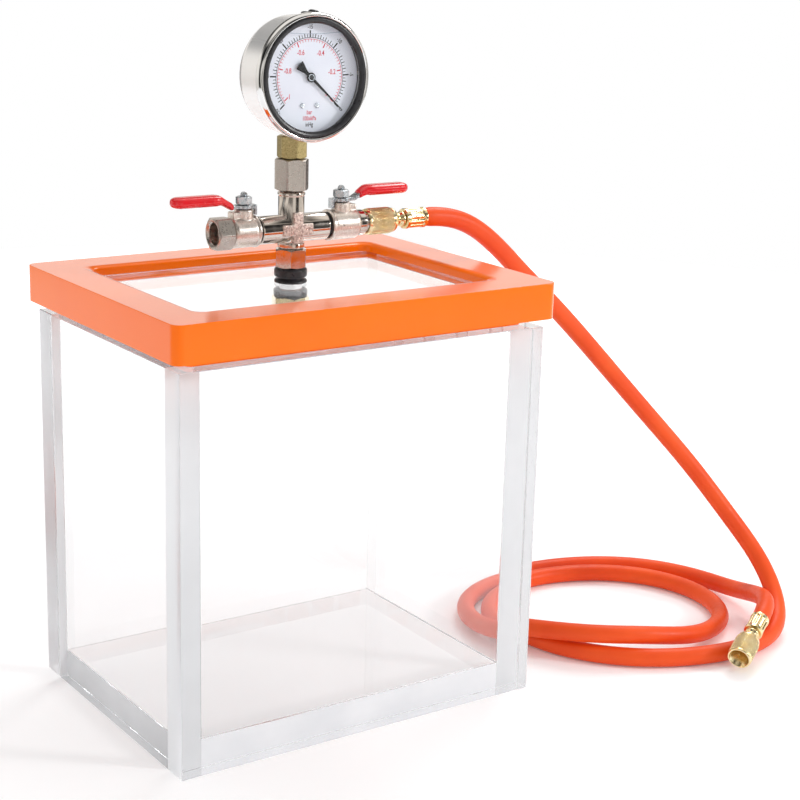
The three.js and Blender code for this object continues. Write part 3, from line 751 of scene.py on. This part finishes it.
def spline(controls, per_span=14):
    """Points on the clamped cubic B-spline of the control points, by de Boor's rule."""
    spans = len(controls) - 3
    knots = [0] * 3 + list(range(spans + 1)) + [spans] * 3
    points = [Vector(p) for p in controls]

    def at(u):
        k = min(int(u), spans - 1) + 3
        local = [points[j] for j in range(k - 3, k + 1)]
        for r in range(1, 4):
            for j in range(3, r - 1, -1):
                first = knots[j + k - 3]
                share = (u - first) / (knots[j + 1 + k - r] - first)
                local[j] = local[j - 1].lerp(local[j], share)
        return local[3]

    return [at(i / per_span) for i in range(spans * per_span + 1)]


def tube(name, path, radius, sides=28):
    """A round tube along a path, its rings carried along without twist, with softly rounded ends."""
    count = len(path)
    tangents = [(path[min(i + 1, count - 1)] - path[max(i - 1, 0)]).normalized() for i in range(count)]
    normal = tangents[0].orthogonal().normalized()
    rings = []
    for i, point in enumerate(path):
        normal = (normal - tangents[i] * normal.dot(tangents[i])).normalized()
        other = tangents[i].cross(normal)
        r = radius - (0.5 if i in (0, count - 1) else 0)
        rings.append([tuple(point + normal * across + other * up) for across, up, _ in circle(r, 0, sides)])
    return loft(name, rings, sharp=50)


def coupling_places():
    """Where each crimped coupling starts and points: away from the hose's end faces."""
    near = along_x(*HOSE_ROUTE[0]) @ Matrix.Rotation(math.pi, 4, "Y")
    end, before = Vector(HOSE_ROUTE[-1]), Vector(HOSE_ROUTE[-2])
    turn = (end - before).to_track_quat("Z", "Y").to_matrix().to_4x4()
    return near, Matrix.Translation(end) @ turn


def build_hose():
    path = spline(HOSE_ROUTE)
    hose = tube("rubber_hose", path, HOSE_RADIUS)
    hose.data.materials.append(FINISHES["hose_rubber"])
    near, far = coupling_places()
    build_coupling("near", near, "lid", "near_nut")
    on_hose = build_coupling("far", far, "root", "far_nut")
    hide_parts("hose")
    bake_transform(hose)


FERRULE_END = 14.8  # distances from the hose's end face
NUT_START = 20.4
NUT_END = 41.0


def build_coupling(side, place, body, nut_body):
    """Crimped ferrule, its tail with a flare cone, and a diamond-knurled swivel nut."""
    ferrule = fluted_ferrule(side + "_crimped_ferrule", place)
    show(ferrule, body, "brass", side + "_ferrule")
    end, nut = FERRULE_END, NUT_START
    profile = [
        (1.6, 1), (2.6, 1), (2.6, end + GAP), (4.4, end + GAP), (4.4, end + 1.8), (3.4, end + 3.2),
        (3.4, nut + 2.2), (4.6, nut + 2.2), (4.6, nut + 3.8), (1.9, nut + 6.6), (1.6, nut + 6.6), (1.6, 1),
    ]
    node = side + "_hose_tail"
    tail = lathe(side + "_flare_tail", profile, body, "brass", node, soft=0.25, place=place, sides=64)
    swivel = knurled_nut(side + "_knurled_nut", place)
    show(swivel, nut_body, "brass", side + "_hose_nut")
    return [ferrule, tail, swivel]


def fluted_ferrule(name, place, sides=144):
    """Two plain bands with scalloped crimps between them."""
    stations = [
        (3.0, GAP, 0), (5.3, GAP, 0), (5.8, GAP + 0.5, 0), (5.8, 2.3, 0), (5.55, 2.9, 0.4), (5.55, 3.4, 1),
        (5.55, FERRULE_END - 3.4, 1), (5.55, FERRULE_END - 2.9, 0.4), (5.8, FERRULE_END - 2.3, 0),
        (5.8, FERRULE_END - 0.5, 0), (5.3, FERRULE_END, 0), (3.0, FERRULE_END, 0), (3.0, GAP, 0),
    ]
    crimps, depth = 10, 0.75
    rings = []
    for radius, height, flute in stations:
        def fluted(a, radius=radius, flute=flute):
            return radius - depth * flute * (0.5 - 0.5 * math.cos(crimps * a)) ** 1.5
        rings.append(circle(fluted, height, sides))
    return loft(name, rings, place, 40)


def knurled_nut(name, place, sides=240, knurls=30):
    """Round nut with a diamond knurl, a rounded shoulder and a threaded mouth."""
    start, end = NUT_START, NUT_END
    first, last = start + 4.2, end - 1.6
    pitch = 2 * math.pi * 7.4 / knurls
    diamond = 0.62

    def knurl(h):
        fade = min(1.0, (h - first) / 0.5, (last - h) / 0.5)

        def ridged(a):
            turn = a / (2 * math.pi) * knurls
            one = abs(2 * ((turn + h / pitch) % 1) - 1)
            two = abs(2 * ((turn - h / pitch) % 1) - 1)
            ridge = 1 - min(one, two, diamond) / diamond  # crossing ridges round sunken diamonds
            return 7.0 + 0.55 * ridge * fade

        return circle(ridged, h, sides)

    shoulder = [(3.7, start), (5.0, start), (6.8, start + 2), (7.1, start + 3.9)]
    rows = 64
    mouth = [(7.1, end - 1.2), (7.1, end - 0.4), (6.8, end), (6.1, end), (5.95, end - 0.3)]
    inside = thread_profile(5.95, 5.55, end - 0.8, start + 6.2, 1.1)
    inside += [(5.85, start + 5.2), (5, start + 4.3), (5, start + 1.8), (3.7, start + 1.8)]
    rings = [circle(r, h, sides) for r, h in soften(shoulder, 1.4, 6)]
    rings += [knurl(first + (last - first) * k / rows) for k in range(rows + 1)]
    rings += [circle(r, h, sides) for r, h in mouth + inside]
    return loft(name, [*rings, rings[0]], place, 45)


# ---- chamber and lid


def build_chamber():
    """Five glued panels, shown as one polished box with softened edges."""
    lowest, highest = low("base_plate"), high("front_wall")
    wall = high("front_wall").y - low("front_wall").y
    x, y = highest.x, -lowest.y
    floor, top = high("base_plate").z, highest.z
    rings = []
    for a, b, h in ((x, y, 0), (x, y, top), (x - wall, y - wall, top), (x - wall, y - wall, floor)):
        rings.append([(-a, -b, h), (a, -b, h), (a, b, h), (-a, b, h)])
    box = loft("acrylic_box", rings)
    edge = box.modifiers.new("edge", "BEVEL")
    edge.width = 0.7 * MM
    edge.segments = 3
    edge.limit_method = "ANGLE"
    edge.angle_limit = math.radians(30)
    bake(box)
    smooth(box, 20)
    show(box, "root", "clear_acrylic", "base_plate", "front_wall", "back_wall", "left_wall", "right_wall")
    build_joints(x, y, wall, floor, top)


def build_joints(x, y, wall, floor, top):
    """The sawn panel edges inside the glued joints at the front and the left: they are dull, and hide what
    lies along the panel behind them. Their grey is partly the dull edge's own tone and partly painted shade
    for the light seen along the thick panels; the front edge of the base is a lighter copy, painted light."""
    thick, margin, outside = 0.06, 0.2, 0.9
    inner_x, inner_y = x - wall, y - wall
    front = [(-inner_x, inner_x, -inner_y - thick, -inner_y + thick, margin, floor - margin)]
    sawn = [(-inner_x - thick, -inner_x + thick, -inner_y, inner_y, margin, floor - margin)]
    for sx, sy in ((-1, -1), (1, -1), (-1, 1)):
        x0, x1 = sorted((sx * (inner_x + margin), sx * (x - outside)))
        sawn.append((x0, x1, sy * inner_y - thick, sy * inner_y + thick, margin, top - outside))
    # The front edge of the base takes the lighter copy, which is painted light; the other plates are grey,
    # partly painted shade.
    show(plates("glued_front_edge", front), "root", "clear_acrylic", finish="painted_lighter_joint")
    show(plates("glued_panel_edges", sawn), "root", "clear_acrylic", finish="sawn_joint_and_painted_shade")


def plates(name, spans):
    """Thin plates from their lowest and highest x, y and z, joined in one piece."""
    sets = []
    for x0, x1, y0, y1, z0, z1 in spans:
        sets.append([(px, py, pz) for pz in (z0, z1) for px, py in ((x0, y0), (x1, y0), (x1, y1), (x0, y1))])
    return boxes(name, sets)


LIP = 25.6  # width of the orange rim seen from above


def frame_rings(profile):
    """Rings of a rectangular gasket from (inset, height) points of its section."""
    outer_x, outer_y = high("lid_frame").x, high("lid_frame").y
    rings = []
    for inset, height in profile:
        radius = 5.5 + 1.5 * inset / LIP if inset < 20 else 7.0
        outline = rounded_rectangle(outer_x - inset, outer_y - inset, radius)
        rings.append([(px, py, height) for px, py in outline])
    return rings


def build_lid():
    bottom, top = heights("lid_frame")
    skirt = high("lid_frame").x - high("lid_plate").x - GAP
    under = LID_TOP + 0.02  # the lip lies on the plate
    profile = [(0, bottom), (0, top - 0.2), (0.2, top), (LIP - 3.6, top), (LIP - 1.6, top - 0.35)]
    profile = soften([*profile, (LIP, top - 1.2), (LIP, under)], 1.3, 5)
    profile += [(skirt, under), (skirt, bottom), (0, bottom)]
    gasket = loft("orange_gasket", frame_rings(profile), sharp=60)
    show(gasket, "lid", "orange_silicone", "lid_frame")

    plate_low, plate_high = low("lid_plate"), high("lid_plate")
    outline = rounded_rectangle(plate_high.x, plate_high.y, 0.8, 4)
    plate = slab("lid_plate_clear", outline, plate_low.z, plate_high.z, 0.6)
    cut(plate, [drill(6.5, plate_low.z - 2, plate_high.z + 2, sides=64)], 25)
    show(plate, "lid", "clear_acrylic", "lid_plate")

    seal_low, seal_high = low("lid_seal"), high("lid_seal")
    section = ring_profile(0, 8, seal_low.z, seal_high.z + GAP - 0.02)  # pressed against the plate
    rings = []
    for inset, height in soften(section, 0.15):
        outline = rounded_rectangle(seal_high.x - inset, seal_high.y - inset, 3)
        rings.append([(px, py, height) for px, py in outline])
    show(loft("rim_seal", rings, sharp=60), "lid", "orange_silicone", "lid_seal")
    build_washers()


def build_washers():
    foot, top = heights("upper_washer")
    profile = [
        (6.3, foot), (8.9, foot), (9.1, foot + 0.8), (8.7, foot + 1.7), (7.2, foot + 2.0), (7.2, foot + 3.0),
        (8.8, foot + 3.3), (9.1, foot + 4.2), (9.1, top - 1.0), (8.3, top), (6.3, top), (6.3, foot),
    ]
    lathe("upper_rubber_washer", profile, "lid", "black_rubber", "upper_washer", soft=0.4)
    profile = ring_profile(6.3, 9.5, *heights("lower_washer"))
    lathe("lower_rubber_washer", profile, "lid", "black_rubber", "lower_washer", soft=0.7)
    hexagon("lock_nut_brass", 19, *heights("lock_nut"), "lid", "brass", "lock_nut", bore=6.3, turn=12)


# ---- cross fitting


def build_adapter():
    """Hexagon above the lid, a turned cone over it and a threaded stem through the lid."""
    foot = low("lid_adapter").z
    hex_bottom = high("upper_washer").z + GAP
    hex_top = 253.9
    top = hex_top + 4.6
    stem = [(3, foot), (5.2, foot), *thread_profile(6, 5.35, foot + 1, hex_bottom - 1, 1.4)]
    stem += [(5.3, hex_bottom), (5.3, top), (3, top), (3, foot)]
    lathe("adapter_stem", stem, "lid", "polished_nickel", finish="satin_nickel", sides=64)
    shape = {"bore": 5.25, "corner": 0.45, "face": 0.97}
    hexagon("adapter_hexagon", 16.3, hex_bottom, hex_top, "lid", "polished_nickel", "lid_adapter", **shape)
    return hex_top


def build_cross(foot):
    """Two polished tubes crossing, with a rough cast plus standing on the front and the back."""
    axis = along_x(0, 0, CROSS_Z)
    reach, top = high("cross_fitting").x, high("cross_fitting").z
    end = reach - 0.6
    profile = [(0, -reach), (7.2, -reach), (7.65, -end), (7.65, end), (7.2, reach), (0, reach)]
    body = turned("cross_body", soften(profile, 0.3), axis)
    profile = [
        (0, foot), (6.9, foot), (7.3, foot + 0.6), (7.3, foot + 2.6), (6.7, foot + 3.4), (7.1, CROSS_Z),
        (7.1, top - 2.0), (7.5, top - 1.6), (7.5, top - 0.4), (7.1, top), (0, top),
    ]
    neck = turned("neck", soften(profile, 0.25))
    arm, web, lower = 9.5, 3.1, foot + 3.5 - CROSS_Z
    plus = [
        (-arm, -web), (-web, -web), (-web, lower), (web, lower), (web, -web), (arm, -web),
        (arm, web), (web, web), (web, arm), (-web, arm), (-web, web), (-arm, web),
    ]
    upright = Matrix.Translation((0, 0, CROSS_Z)) @ Matrix.Rotation(math.radians(90), 4, "X")
    pads = cast_shape(slab("cross_boss", plus, -8.3, 8.3, 0.5, upright), 0.25, 5)
    for piece, index in ((body, 1), (neck, 1), (pads, 0)):
        piece.data.materials.append(FINISHES["rough_casting"])
        piece.data.materials.append(FINISHES["polished_nickel"])
        for polygon in piece.data.polygons:
            polygon.material_index = index
    casting = combine(body, [neck, pads], "UNION")
    casting.name = "cross_casting"
    bore = drill(3.8, -30, 30, axis)
    side_ports = [drill(6.2, -30, -10.5, axis), drill(6.2, 10.5, 30, axis)]
    cut(casting, [bore, *side_ports, drill(5.6, 240, foot + 5), drill(5.6, 275.5, 300)], 36)
    show(casting, "lid", "cast_nickel", "cross_fitting")

    for side in ("left", "right"):
        node = side + "_thread_seal"
        profile = ring_profile(6.2, 7.3, low(node).x, high(node).x)
        lathe(side + "_dark_seal", profile, "lid", "black_rubber", node, soft=0.2, place=axis)


def build_gauge_fittings():
    low_z, top_z = high("cross_fitting").z + 1.0, high("gauge_coupling").z
    shape = {"bore": 5.6, "turn": -12, "corner": 0.8}
    hexagon("gauge_coupling_hexagon", 17, low_z, top_z, "lid", "satin_nickel", "gauge_coupling", **shape)
    profile = sleeve_profile(2.5, 5.3, 4.9, 5.2, 277, low_z - 1, low_z + 1.5, 1.1)
    lathe("gauge_coupling_spigot", profile, "lid", "satin_nickel", sides=64)

    foot = top_z + 0.3
    shape = {"bore": 4, "turn": 19, "corner": 0.6}
    hexagon(
        "gauge_hexagon", 14.4, foot, foot + 12, "lid", "brass", "gauge_socket", finish="olive_brass", **shape,
    )
    bottom, shoulder, top = 293.4, foot + 1, 322.5
    profile = [
        (1.5, bottom), (5.2, bottom), (5.2, shoulder), (4.8, shoulder), (4.8, top), (1.5, top), (1.5, bottom),
    ]
    lathe("gauge_neck", profile, "lid", "brass", soft=0.2, finish="olive_brass", sides=64)
    show(block("gauge_socket_block", -5.5, 5.5, -12, 1, 321, 324.2, 0.3), "lid", "brass")


# ---- ball valves


def valve_place(side):
    """The valve's own frame: stem on the Z axis, outer port towards +X."""
    if side == "left":
        return Matrix.Translation((LEFT_STEM_X, 0, 0)) @ Matrix.Rotation(math.pi, 4, "Z")
    return Matrix.Translation((RIGHT_STEM_X, 0, 0))


def build_valve(side):
    place = valve_place(side)
    axis = place @ along_x(0, 0, CROSS_Z)
    start = 22.6 - abs(LEFT_STEM_X if side == "left" else RIGHT_STEM_X)  # the end at the cross
    outer = 8.8
    profile = [
        (0, start), (8.4, start), (8.7, start + 0.4), (8.7, start + 1.5), (8.2, start + 2.1),
        (8.4, start + 2.8), (8.4, outer - 1.2), (7.6, outer), (0, outer),
    ]
    shell = turned(side + "_valve_casting", soften(profile, 0.5), axis)
    bonnet = soften([(0, CROSS_Z), (5.2, CROSS_Z), (5.2, 276.9), (4.7, 277.4), (0, 277.4)], 0.3)
    lug = block("lug", 2, 8, -3.4, 3.4, CROSS_Z + 3, 276.2, 0.5, place)
    combine(shell, [turned("boss", bonnet, place), lug], "UNION")
    cast_shape(shell, 0.24, 3)
    way, cavity = drill(3, start - 2, 0, axis), drill(5.4, -5.8, outer + 1, axis)
    port = drill(6.2, 5.8, outer + 1, axis)
    stem_hole, packing_hole = drill(2.3, CROSS_Z, 280, place), drill(3.9, 271.6, 280, place)
    cut(shell, [way, cavity, port, stem_hole, packing_hole], 40)
    show(shell, "lid", "cast_nickel", side + "_valve_body")
    profile = sleeve_profile(3, 5.9, 5.5, 5.8, start - 9.5, start - 0.2, start + 0.5)
    name = side + "_valve_spigot"
    lathe(name, profile, "lid", "cast_nickel", finish="satin_nickel", place=axis, sides=64)
    build_lever(side, place)


def build_lever(side, place):
    body = side + "_lever"
    node = side + "_valve_lever"
    stop = 3.8  # how far the stop tab reaches down beside the valve
    bottom = low(node).z + stop
    thick, rise, end = 1.8, 4.2, 40.5
    top = bottom + thick
    outline = [
        (0, bottom), (8, bottom), (15.5, bottom + rise), (end, bottom + rise), (end, top + rise),
        (14.5, top + rise), (7, top), (0, top),
    ]
    sideways = place @ Matrix.Rotation(math.radians(90), 4, "X")
    strip = slab(node + "_strip", outline, -2.6, 2.6, 0.25, sideways)
    eye = turned("eye", soften(rod_profile(4.9, bottom, top), 0.3), place, 64)
    tab = block("tab", -6.9, -3, -2.2, 2.2, bottom, top, 0.25, place)
    drop = block("drop", -6.9, -5.8, -2.2, 2.2, bottom - stop, top - 0.3, 0.25, place)
    combine(strip, [eye, tab, drop], "UNION")
    cut(strip, [drill(2.3, bottom - 2, top + 2, place)], 30)
    show(strip, body, "zinc", node)

    node = side + "_valve_stem"
    foot, tip = heights(node)
    profile = [(0, foot), (2, foot), (2, 274.7), (3.5, 274.9), (3.5, 276.5), (2, 276.7), (2, top)]
    profile += thread_profile(2.05, 1.7, top + 0.2, tip - 0.9, 0.7)
    profile += [(1.4, tip - 0.4), (0.9, tip), (0, tip)]
    lathe(side + "_threaded_stem", profile, body, "brass", node, finish="zinc", place=place, sides=48)

    node = side + "_lever_nut"
    foot = low(node).z
    shape = {"bore": 2.1, "turn": 15, "corner": 0.35, "face": 0.9, "place": place}
    hexagon(side + "_zinc_nut", 8, foot, foot + 4.2, body, "zinc", node, **shape)
    strip_middle = bottom + thick / 2
    build_grip(side, place, body, strip_middle, strip_middle + rise)


def build_grip(side, place, body, start_z, grip_z):
    """Dipped vinyl sleeve: a thin neck up the bend, then a fat rounded handle."""
    start = 7.5 if side == "left" else 10.5
    half_width, half_height = 5.4, 3.0
    sections = []
    for x, share in ((start, 0.2), (start + 0.3, 0.85), (start + 1.0, 1.0), (12, 1.04), (13.5, 1.12)):
        climb = min(1, max(0, (x - 7.5) / 7.5))
        sections.append((x, start_z + (grip_z - start_z) * climb, 3.7 * share, 2.1 * share))
    for x, wide, tall in ((15.5, 4.6, 2.65), (17.5, 5.2, 2.95), (19.5, half_width, half_height)):
        sections.append((x, grip_z, wide, tall))
    sections.append((30, grip_z, half_width, half_height))
    least, steps = 0.05, 10
    for k in range(steps + 1):
        a = k / steps * math.pi / 2
        wide, tall = half_width * math.cos(a), half_height * math.cos(a) ** 0.6
        sections.append((38.3 + 5.1 * math.sin(a), grip_z, max(least, wide), max(least, tall)))
    rings = []
    for x, z, wide, tall in sections:
        squared = [[math.copysign(abs(v) ** 0.75, v) for v in point[:2]] for point in circle(1, 0, 40)]
        rings.append([(x, wide * c, z + tall * s) for c, s in squared])
    grip = loft(side + "_vinyl_grip", rings, place, 60)
    show(grip, body, "red_vinyl", side + "_lever_grip")


def build_left_connector():
    """Hexagonal female end with a chamfered, threaded mouth."""
    place = valve_place("left") @ along_x(0, 0, CROSS_Z)
    start, end = 9.1, 19.0
    on_side = place @ Matrix.Rotation(math.pi / 2, 4, "Z")
    outline = hexagon_nut("left_hexagon_end", 16.6, start, end, corner=0.8, face=0.93, place=on_side)
    mouth = [(0, end + 1), (7.2, end + 1), (7.2, end), (6.3, end - 1.0)]
    mouth += thread_profile(6.3, 5.75, end - 1.2, end - 7.0, 1.25)
    mouth += [(5.4, end - 7.4), (5.4, end - 8.4), (3.2, end - 8.4), (3.2, start - 1), (0, start - 1)]
    cut(outline, [turned("mouth", mouth, place)], 30)
    show(outline, "lid", "satin_nickel", "left_valve_connector")
    profile = sleeve_profile(3.2, 5.9, 5.5, 5.8, 6.1, start - 0.2, start + 0.4)
    lathe("left_connector_spigot", profile, "lid", "satin_nickel", place=place, sides=64)


def build_right_connector():
    """Polished round collar, then the male flare that the hose nut screws onto."""
    place = valve_place("right") @ along_x(0, 0, CROSS_Z)
    start, collar, flare = 9.1, 14.0, 27.6
    ring = [(6.7, start), (7.2, start + 0.5), (7.2, collar - 0.8), (6.4, collar), (5.1, collar)]
    profile = [(2.2, 6.1), (5.8, 6.1), (5.8, start), *soften(ring, 0.3)]
    profile += thread_profile(5.5, 5.1, collar + 0.9, flare - 3.4, 1.1)
    profile += [(5.2, flare - 3.2), (2.6, flare), (2.2, flare), (2.2, 6.1)]
    lathe("right_flare_collar", profile, "lid", "polished_nickel", "right_valve_connector", place=place)


# ---- gauge

CASE_RADIUS = 31.5
ZERO_ANGLE = -42.0
SWEEP = 264.0  # from 0 to -30 inches of mercury
INCHES_PER_BAR = 29.53
INK_DEPTH = 0.06


def build_gauge():
    place = facing_front(0, GAUGE_Z)
    front, back = low("gauge_case").y, high("gauge_case").y
    inner = CASE_RADIUS - 1.2
    profile = [
        (0, back - 1.2), (25.5, back - 1.2), (28.8, 4.2), (inner, 1.2), (inner, front), (CASE_RADIUS, front),
        (CASE_RADIUS, 1.2), (29.3, 5.6), (26, back), (0, back),
    ]
    case = turned("gauge_case_steel", soften(profile, 2.2, 6), place, 160)
    cut(case, [drill(5.2, GAUGE_Z - 40, GAUGE_Z - 17), drill(4, 20, 40, plug_place())], 40)
    show(case, "lid", "polished_steel", "gauge_case", finish="satin_steel")

    edge = low("gauge_bezel").y
    profile = [
        (31.6, -18.8), (33.2, -18.8), (33.75, -19.4), (33.75, edge + 2.2), (33.0, edge + 0.6),
        (32.0, edge), (31.2, edge + 0.9), (31.2, -21.4), (31.6, -21.4), (31.6, -18.8),
    ]
    shape = {"soft": 0.6, "steps": 5, "place": place, "sides": 192}
    lathe("gauge_bezel_ring", profile, "lid", "polished_steel", "gauge_bezel", sharp=50, **shape)
    behind = -21.55
    profile = [(28, behind), (28, -22.5), (28.7, -23.3), (30.2, -23.7), (31.1, -23.4), (31.2, behind)]
    profile.append(profile[0])
    lathe("gauge_rubber_ring", profile, "lid", "black_rubber", "gauge_seal", sharp=60, **shape)
    shape = {"soft": 0.2, "place": place, "sides": 128}
    lathe("gauge_glass_disc", rod_profile(30, -21.3, -19.7), "lid", "gauge_glass", "gauge_window", **shape)
    base = CASE_RADIUS + GAP
    profile = [
        (0, 27), (3.6, 27), (3.6, base), (6.6, base), (6.6, base + 0.8), (5.6, base + 1.4),
        (3.0, base + 1.6), (2.8, base + 2.4), (1.9, base + 3.0), (0, base + 3.1),
    ]
    shape = {"soft": 0.4, "place": plug_place(), "sides": 64}
    lathe("rubber_fill_plug", profile, "lid", "black_rubber", "fill_plug", **shape)
    build_dial(place)
    build_pointer(place)


def plug_place():
    """The filling plug sits on top of the case, a little clockwise of the highest point."""
    return Matrix.Translation((0, -11.5, GAUGE_Z)) @ Matrix.Rotation(math.radians(9.5), 4, "Y")


BLACK = {"slot": "black_paint", "finish": "black_paint"}
RED = {"slot": "dial_white", "finish": "red_ink"}


def ticks(name, values, angle_of, inner, outer, width, face, ink):
    """One thin printed stroke for each value, joined in one piece."""
    strokes = []
    for value in values:
        out = Vector(spot(angle_of(value), 1))
        across = Vector((-out.y, out.x)) * width / 2
        corners = [out * inner - across, out * outer - across, out * outer + across, out * inner + across]
        strokes.append([(c.x, face + depth, GAUGE_Z + c.y) for depth in (0, -INK_DEPTH) for c in corners])
    show(boxes(name, strokes), "lid", **ink)


def arc_line(name, radius, width, face, ink, steps=120):
    """A printed arc from the first mark to the last."""
    rings = []
    for i in range(steps + 1):
        angle = ZERO_ANGLE + SWEEP * i / steps
        (x0, z0), (x1, z1) = spot(angle, radius), spot(angle, radius + width)
        corners = ((x0, 0, z0), (x1, 0, z1), (x1, -INK_DEPTH, z1), (x0, -INK_DEPTH, z0))
        rings.append([(x, face + depth, GAUGE_Z + z) for x, depth, z in corners])
    show(loft(name, rings), "lid", **ink)


def words(name, entries, face, ink):
    """Printed numbers and units: (text, x, z, size, turn) entries, joined in one piece."""
    made = []
    for text, x, z, size, turn in entries:
        curve = bpy.data.curves.new(name, "FONT")
        curve.body = text
        curve.size = size * MM
        curve.align_x = "CENTER"
        curve.align_y = "CENTER"
        curve.extrude = INK_DEPTH / 2 * MM
        curve.resolution_u = 3
        curve.offset = 0.03 * MM  # a bolder stroke
        piece = add_object(name, curve)
        piece.rotation_euler = (math.radians(90), math.radians(turn), 0)
        piece.scale.x = 0.78  # condensed figures
        piece.location = Vector((x, face - INK_DEPTH / 2, GAUGE_Z + z)) * MM
        made.append(piece)
    bpy.context.view_layer.update()
    graph = bpy.context.evaluated_depsgraph_get()
    work = bmesh.new()
    for piece in made:
        mesh = bpy.data.meshes.new_from_object(piece.evaluated_get(graph))
        mesh.transform(piece.matrix_world)
        work.from_mesh(mesh)
        bpy.data.meshes.remove(mesh)
        bpy.data.objects.remove(piece, do_unlink=True)
    bmesh.ops.remove_doubles(work, verts=work.verts, dist=1e-7)
    mesh = bpy.data.meshes.new(name)
    work.to_mesh(mesh)
    work.free()
    show(add_object(name, mesh), "lid", **ink)


def inch_angle(value):
    return ZERO_ANGLE + SWEEP * value / 30


def bar_angle(value):
    return inch_angle(value * INCHES_PER_BAR)


def spot(angle, radius):
    return radius * math.cos(math.radians(angle)), radius * math.sin(math.radians(angle))


def build_dial(place):
    face = low("gauge_dial").y
    shape = {"soft": 0.15, "place": place, "sides": 160}
    profile = [(1.6, face), (29.6, face), (29.6, face + 0.8), (1.6, face + 0.8), (1.6, face)]
    lathe("dial_plate", profile, "lid", "dial_white", "gauge_dial", **shape)
    ticks("inch_marks", [v for v in range(31) if v % 5], inch_angle, 20.7, 22.7, 0.42, face, BLACK)
    ticks("inch_half_marks", [v + 0.5 for v in range(30)], inch_angle, 20.7, 22.2, 0.32, face, BLACK)
    ticks("inch_long_marks", range(0, 31, 5), inch_angle, 20.7, 24.2, 0.7, face, BLACK)
    arc_line("inch_arc", 20.4, 0.26, face, BLACK)
    arc_line("bar_arc", 19.6, 0.24, face, RED)
    ticks("bar_marks", [v / 50 for v in range(51)], bar_angle, 18.4, 19.6, 0.24, face, RED)
    ticks("bar_long_marks", [v / 5 for v in range(6)], bar_angle, 17.0, 19.2, 0.6, face, RED)
    inches = []
    for value in range(0, 31, 5):
        angle = inch_angle(value)
        inches.append((str(-value), *spot(angle, 25.9), 3.1, 90 - angle))
    words("inch_numbers", [*inches, ("inHg", 0, -24.7, 3.2, 0)], face, BLACK)
    bars = []
    for value, text in ((0, "0"), (0.2, "-0.2"), (0.4, "-0.4"), (0.6, "-0.6"), (0.8, "-0.8"), (1, "-1")):
        x, z = spot(bar_angle(value), 16.2 if value == 1 else 13.9)
        bars.append((text, x, z, 3.8 if value else 2.6, 0))
    units = [("bar", 0, -18.3, 3.2, 0), ("100xkPa", 0, -21.5, 3.2, 0)]
    words("bar_numbers", bars + units, face, RED)
    build_dial_screws(face)
    build_fill_line()


def build_dial_screws(face):
    """Round-head screws with a slot."""
    for side in ("left", "right"):
        node = side + "_dial_screw"
        center = middle(node)
        head = face - GAP
        profile = [(0, head - 0.8), (1.0, head - 0.75), (1.4, head - 0.3), (1.4, head), (0.7, head)]
        profile = soften([*profile, (0.7, -13), (0, -13)], 0.2)
        screw = turned(side + "_screw_head", profile, facing_front(center.x, center.z), 48)
        at_screw = Matrix.Translation((center.x, 0, center.z))
        groove = block("groove", -1.6, 1.6, head - 1.2, head - 0.45, -0.16, 0.16, 0.02, at_screw)
        cut(screw, [groove], 32)
        show(screw, "lid", "zinc", node)


def build_fill_line():
    """The surface of the filling, seen as a thin curved line behind the window."""
    half, steps = 17.5, 32
    near, far = -19.4, -18.9
    rings = []
    for i in range(steps + 1):
        x = -half + 2 * half * i / steps
        z = GAUGE_Z + 22.4 + 0.9 * (x / half) ** 2
        rings.append([(x, near, z), (x, far, z), (x, far, z + 0.22), (x, near, z + 0.22)])
    show(loft("fill_line", rings, sharp=60), "lid", "gauge_glass", finish="liquid_edge")


def build_pointer(place):
    """Needle with a ringed hub and a flared tail, turned to the zero mark."""
    hub = 2.55
    outline = [(2.2, -0.78), (25.2, -0.16), (26.6, 0), (25.2, 0.16), (2.2, 0.78)]
    outline += [spot(a, hub) for a in range(24, 162, 8)]
    outline += [(-4.2, 0.95), (-9.6, 2.75), (-10.0, 1.2), (-10.1, 0)]
    outline += [(-10.0, -1.2), (-9.6, -2.75), (-4.2, -0.95)]
    outline += [spot(a, hub) for a in range(202, 340, 8)]
    turn = Matrix.Rotation(-math.radians(ZERO_ANGLE), 4, "Y")
    upright = Matrix.Translation((0, 0, GAUGE_Z)) @ turn @ Matrix.Rotation(math.radians(90), 4, "X")
    needle = slab("black_pointer", outline, 18.0, 18.6, 0.08, upright)
    show(needle, "pointer", "black_paint", "gauge_pointer")
    profile = ring_profile(1.4, 1.85, -18.95, -18.55)
    lathe("pointer_hub_ring", profile, "pointer", "zinc", soft=0.1, place=place, sides=64)
    profile = [(0, -19.4), (0.8, -19.35), (1.15, -18.9), (1.15, -18.5), (0, -18.5)]
    shape = {"soft": 0.15, "place": place, "sides": 48}
    lathe("pointer_hub_cap", profile, "pointer", "zinc", "pointer_cap", finish="black_rubber", **shape)


# ---- the rest of the frame


def finish_cad_nodes():
    """CAD nodes that stay as they are take the finish of their slot."""
    slots = {row["node"]: row["material_slot"] for row in frame["record"]["subparts"]}
    for name, node in frame["nodes"].items():
        node.data.materials.clear()
        node.data.materials.append(FINISHES[slots[name]])


build_camera()
build_clear_finishes()
build_plastic_finishes()
build_metal_finishes()
finish_cad_nodes()
build_hose()
build_stage()
build_chamber()
build_lid()
build_cross(build_adapter() + GAP)
build_gauge_fittings()
build_valve("left")
build_valve("right")
build_left_connector()
build_right_connector()
build_gauge()
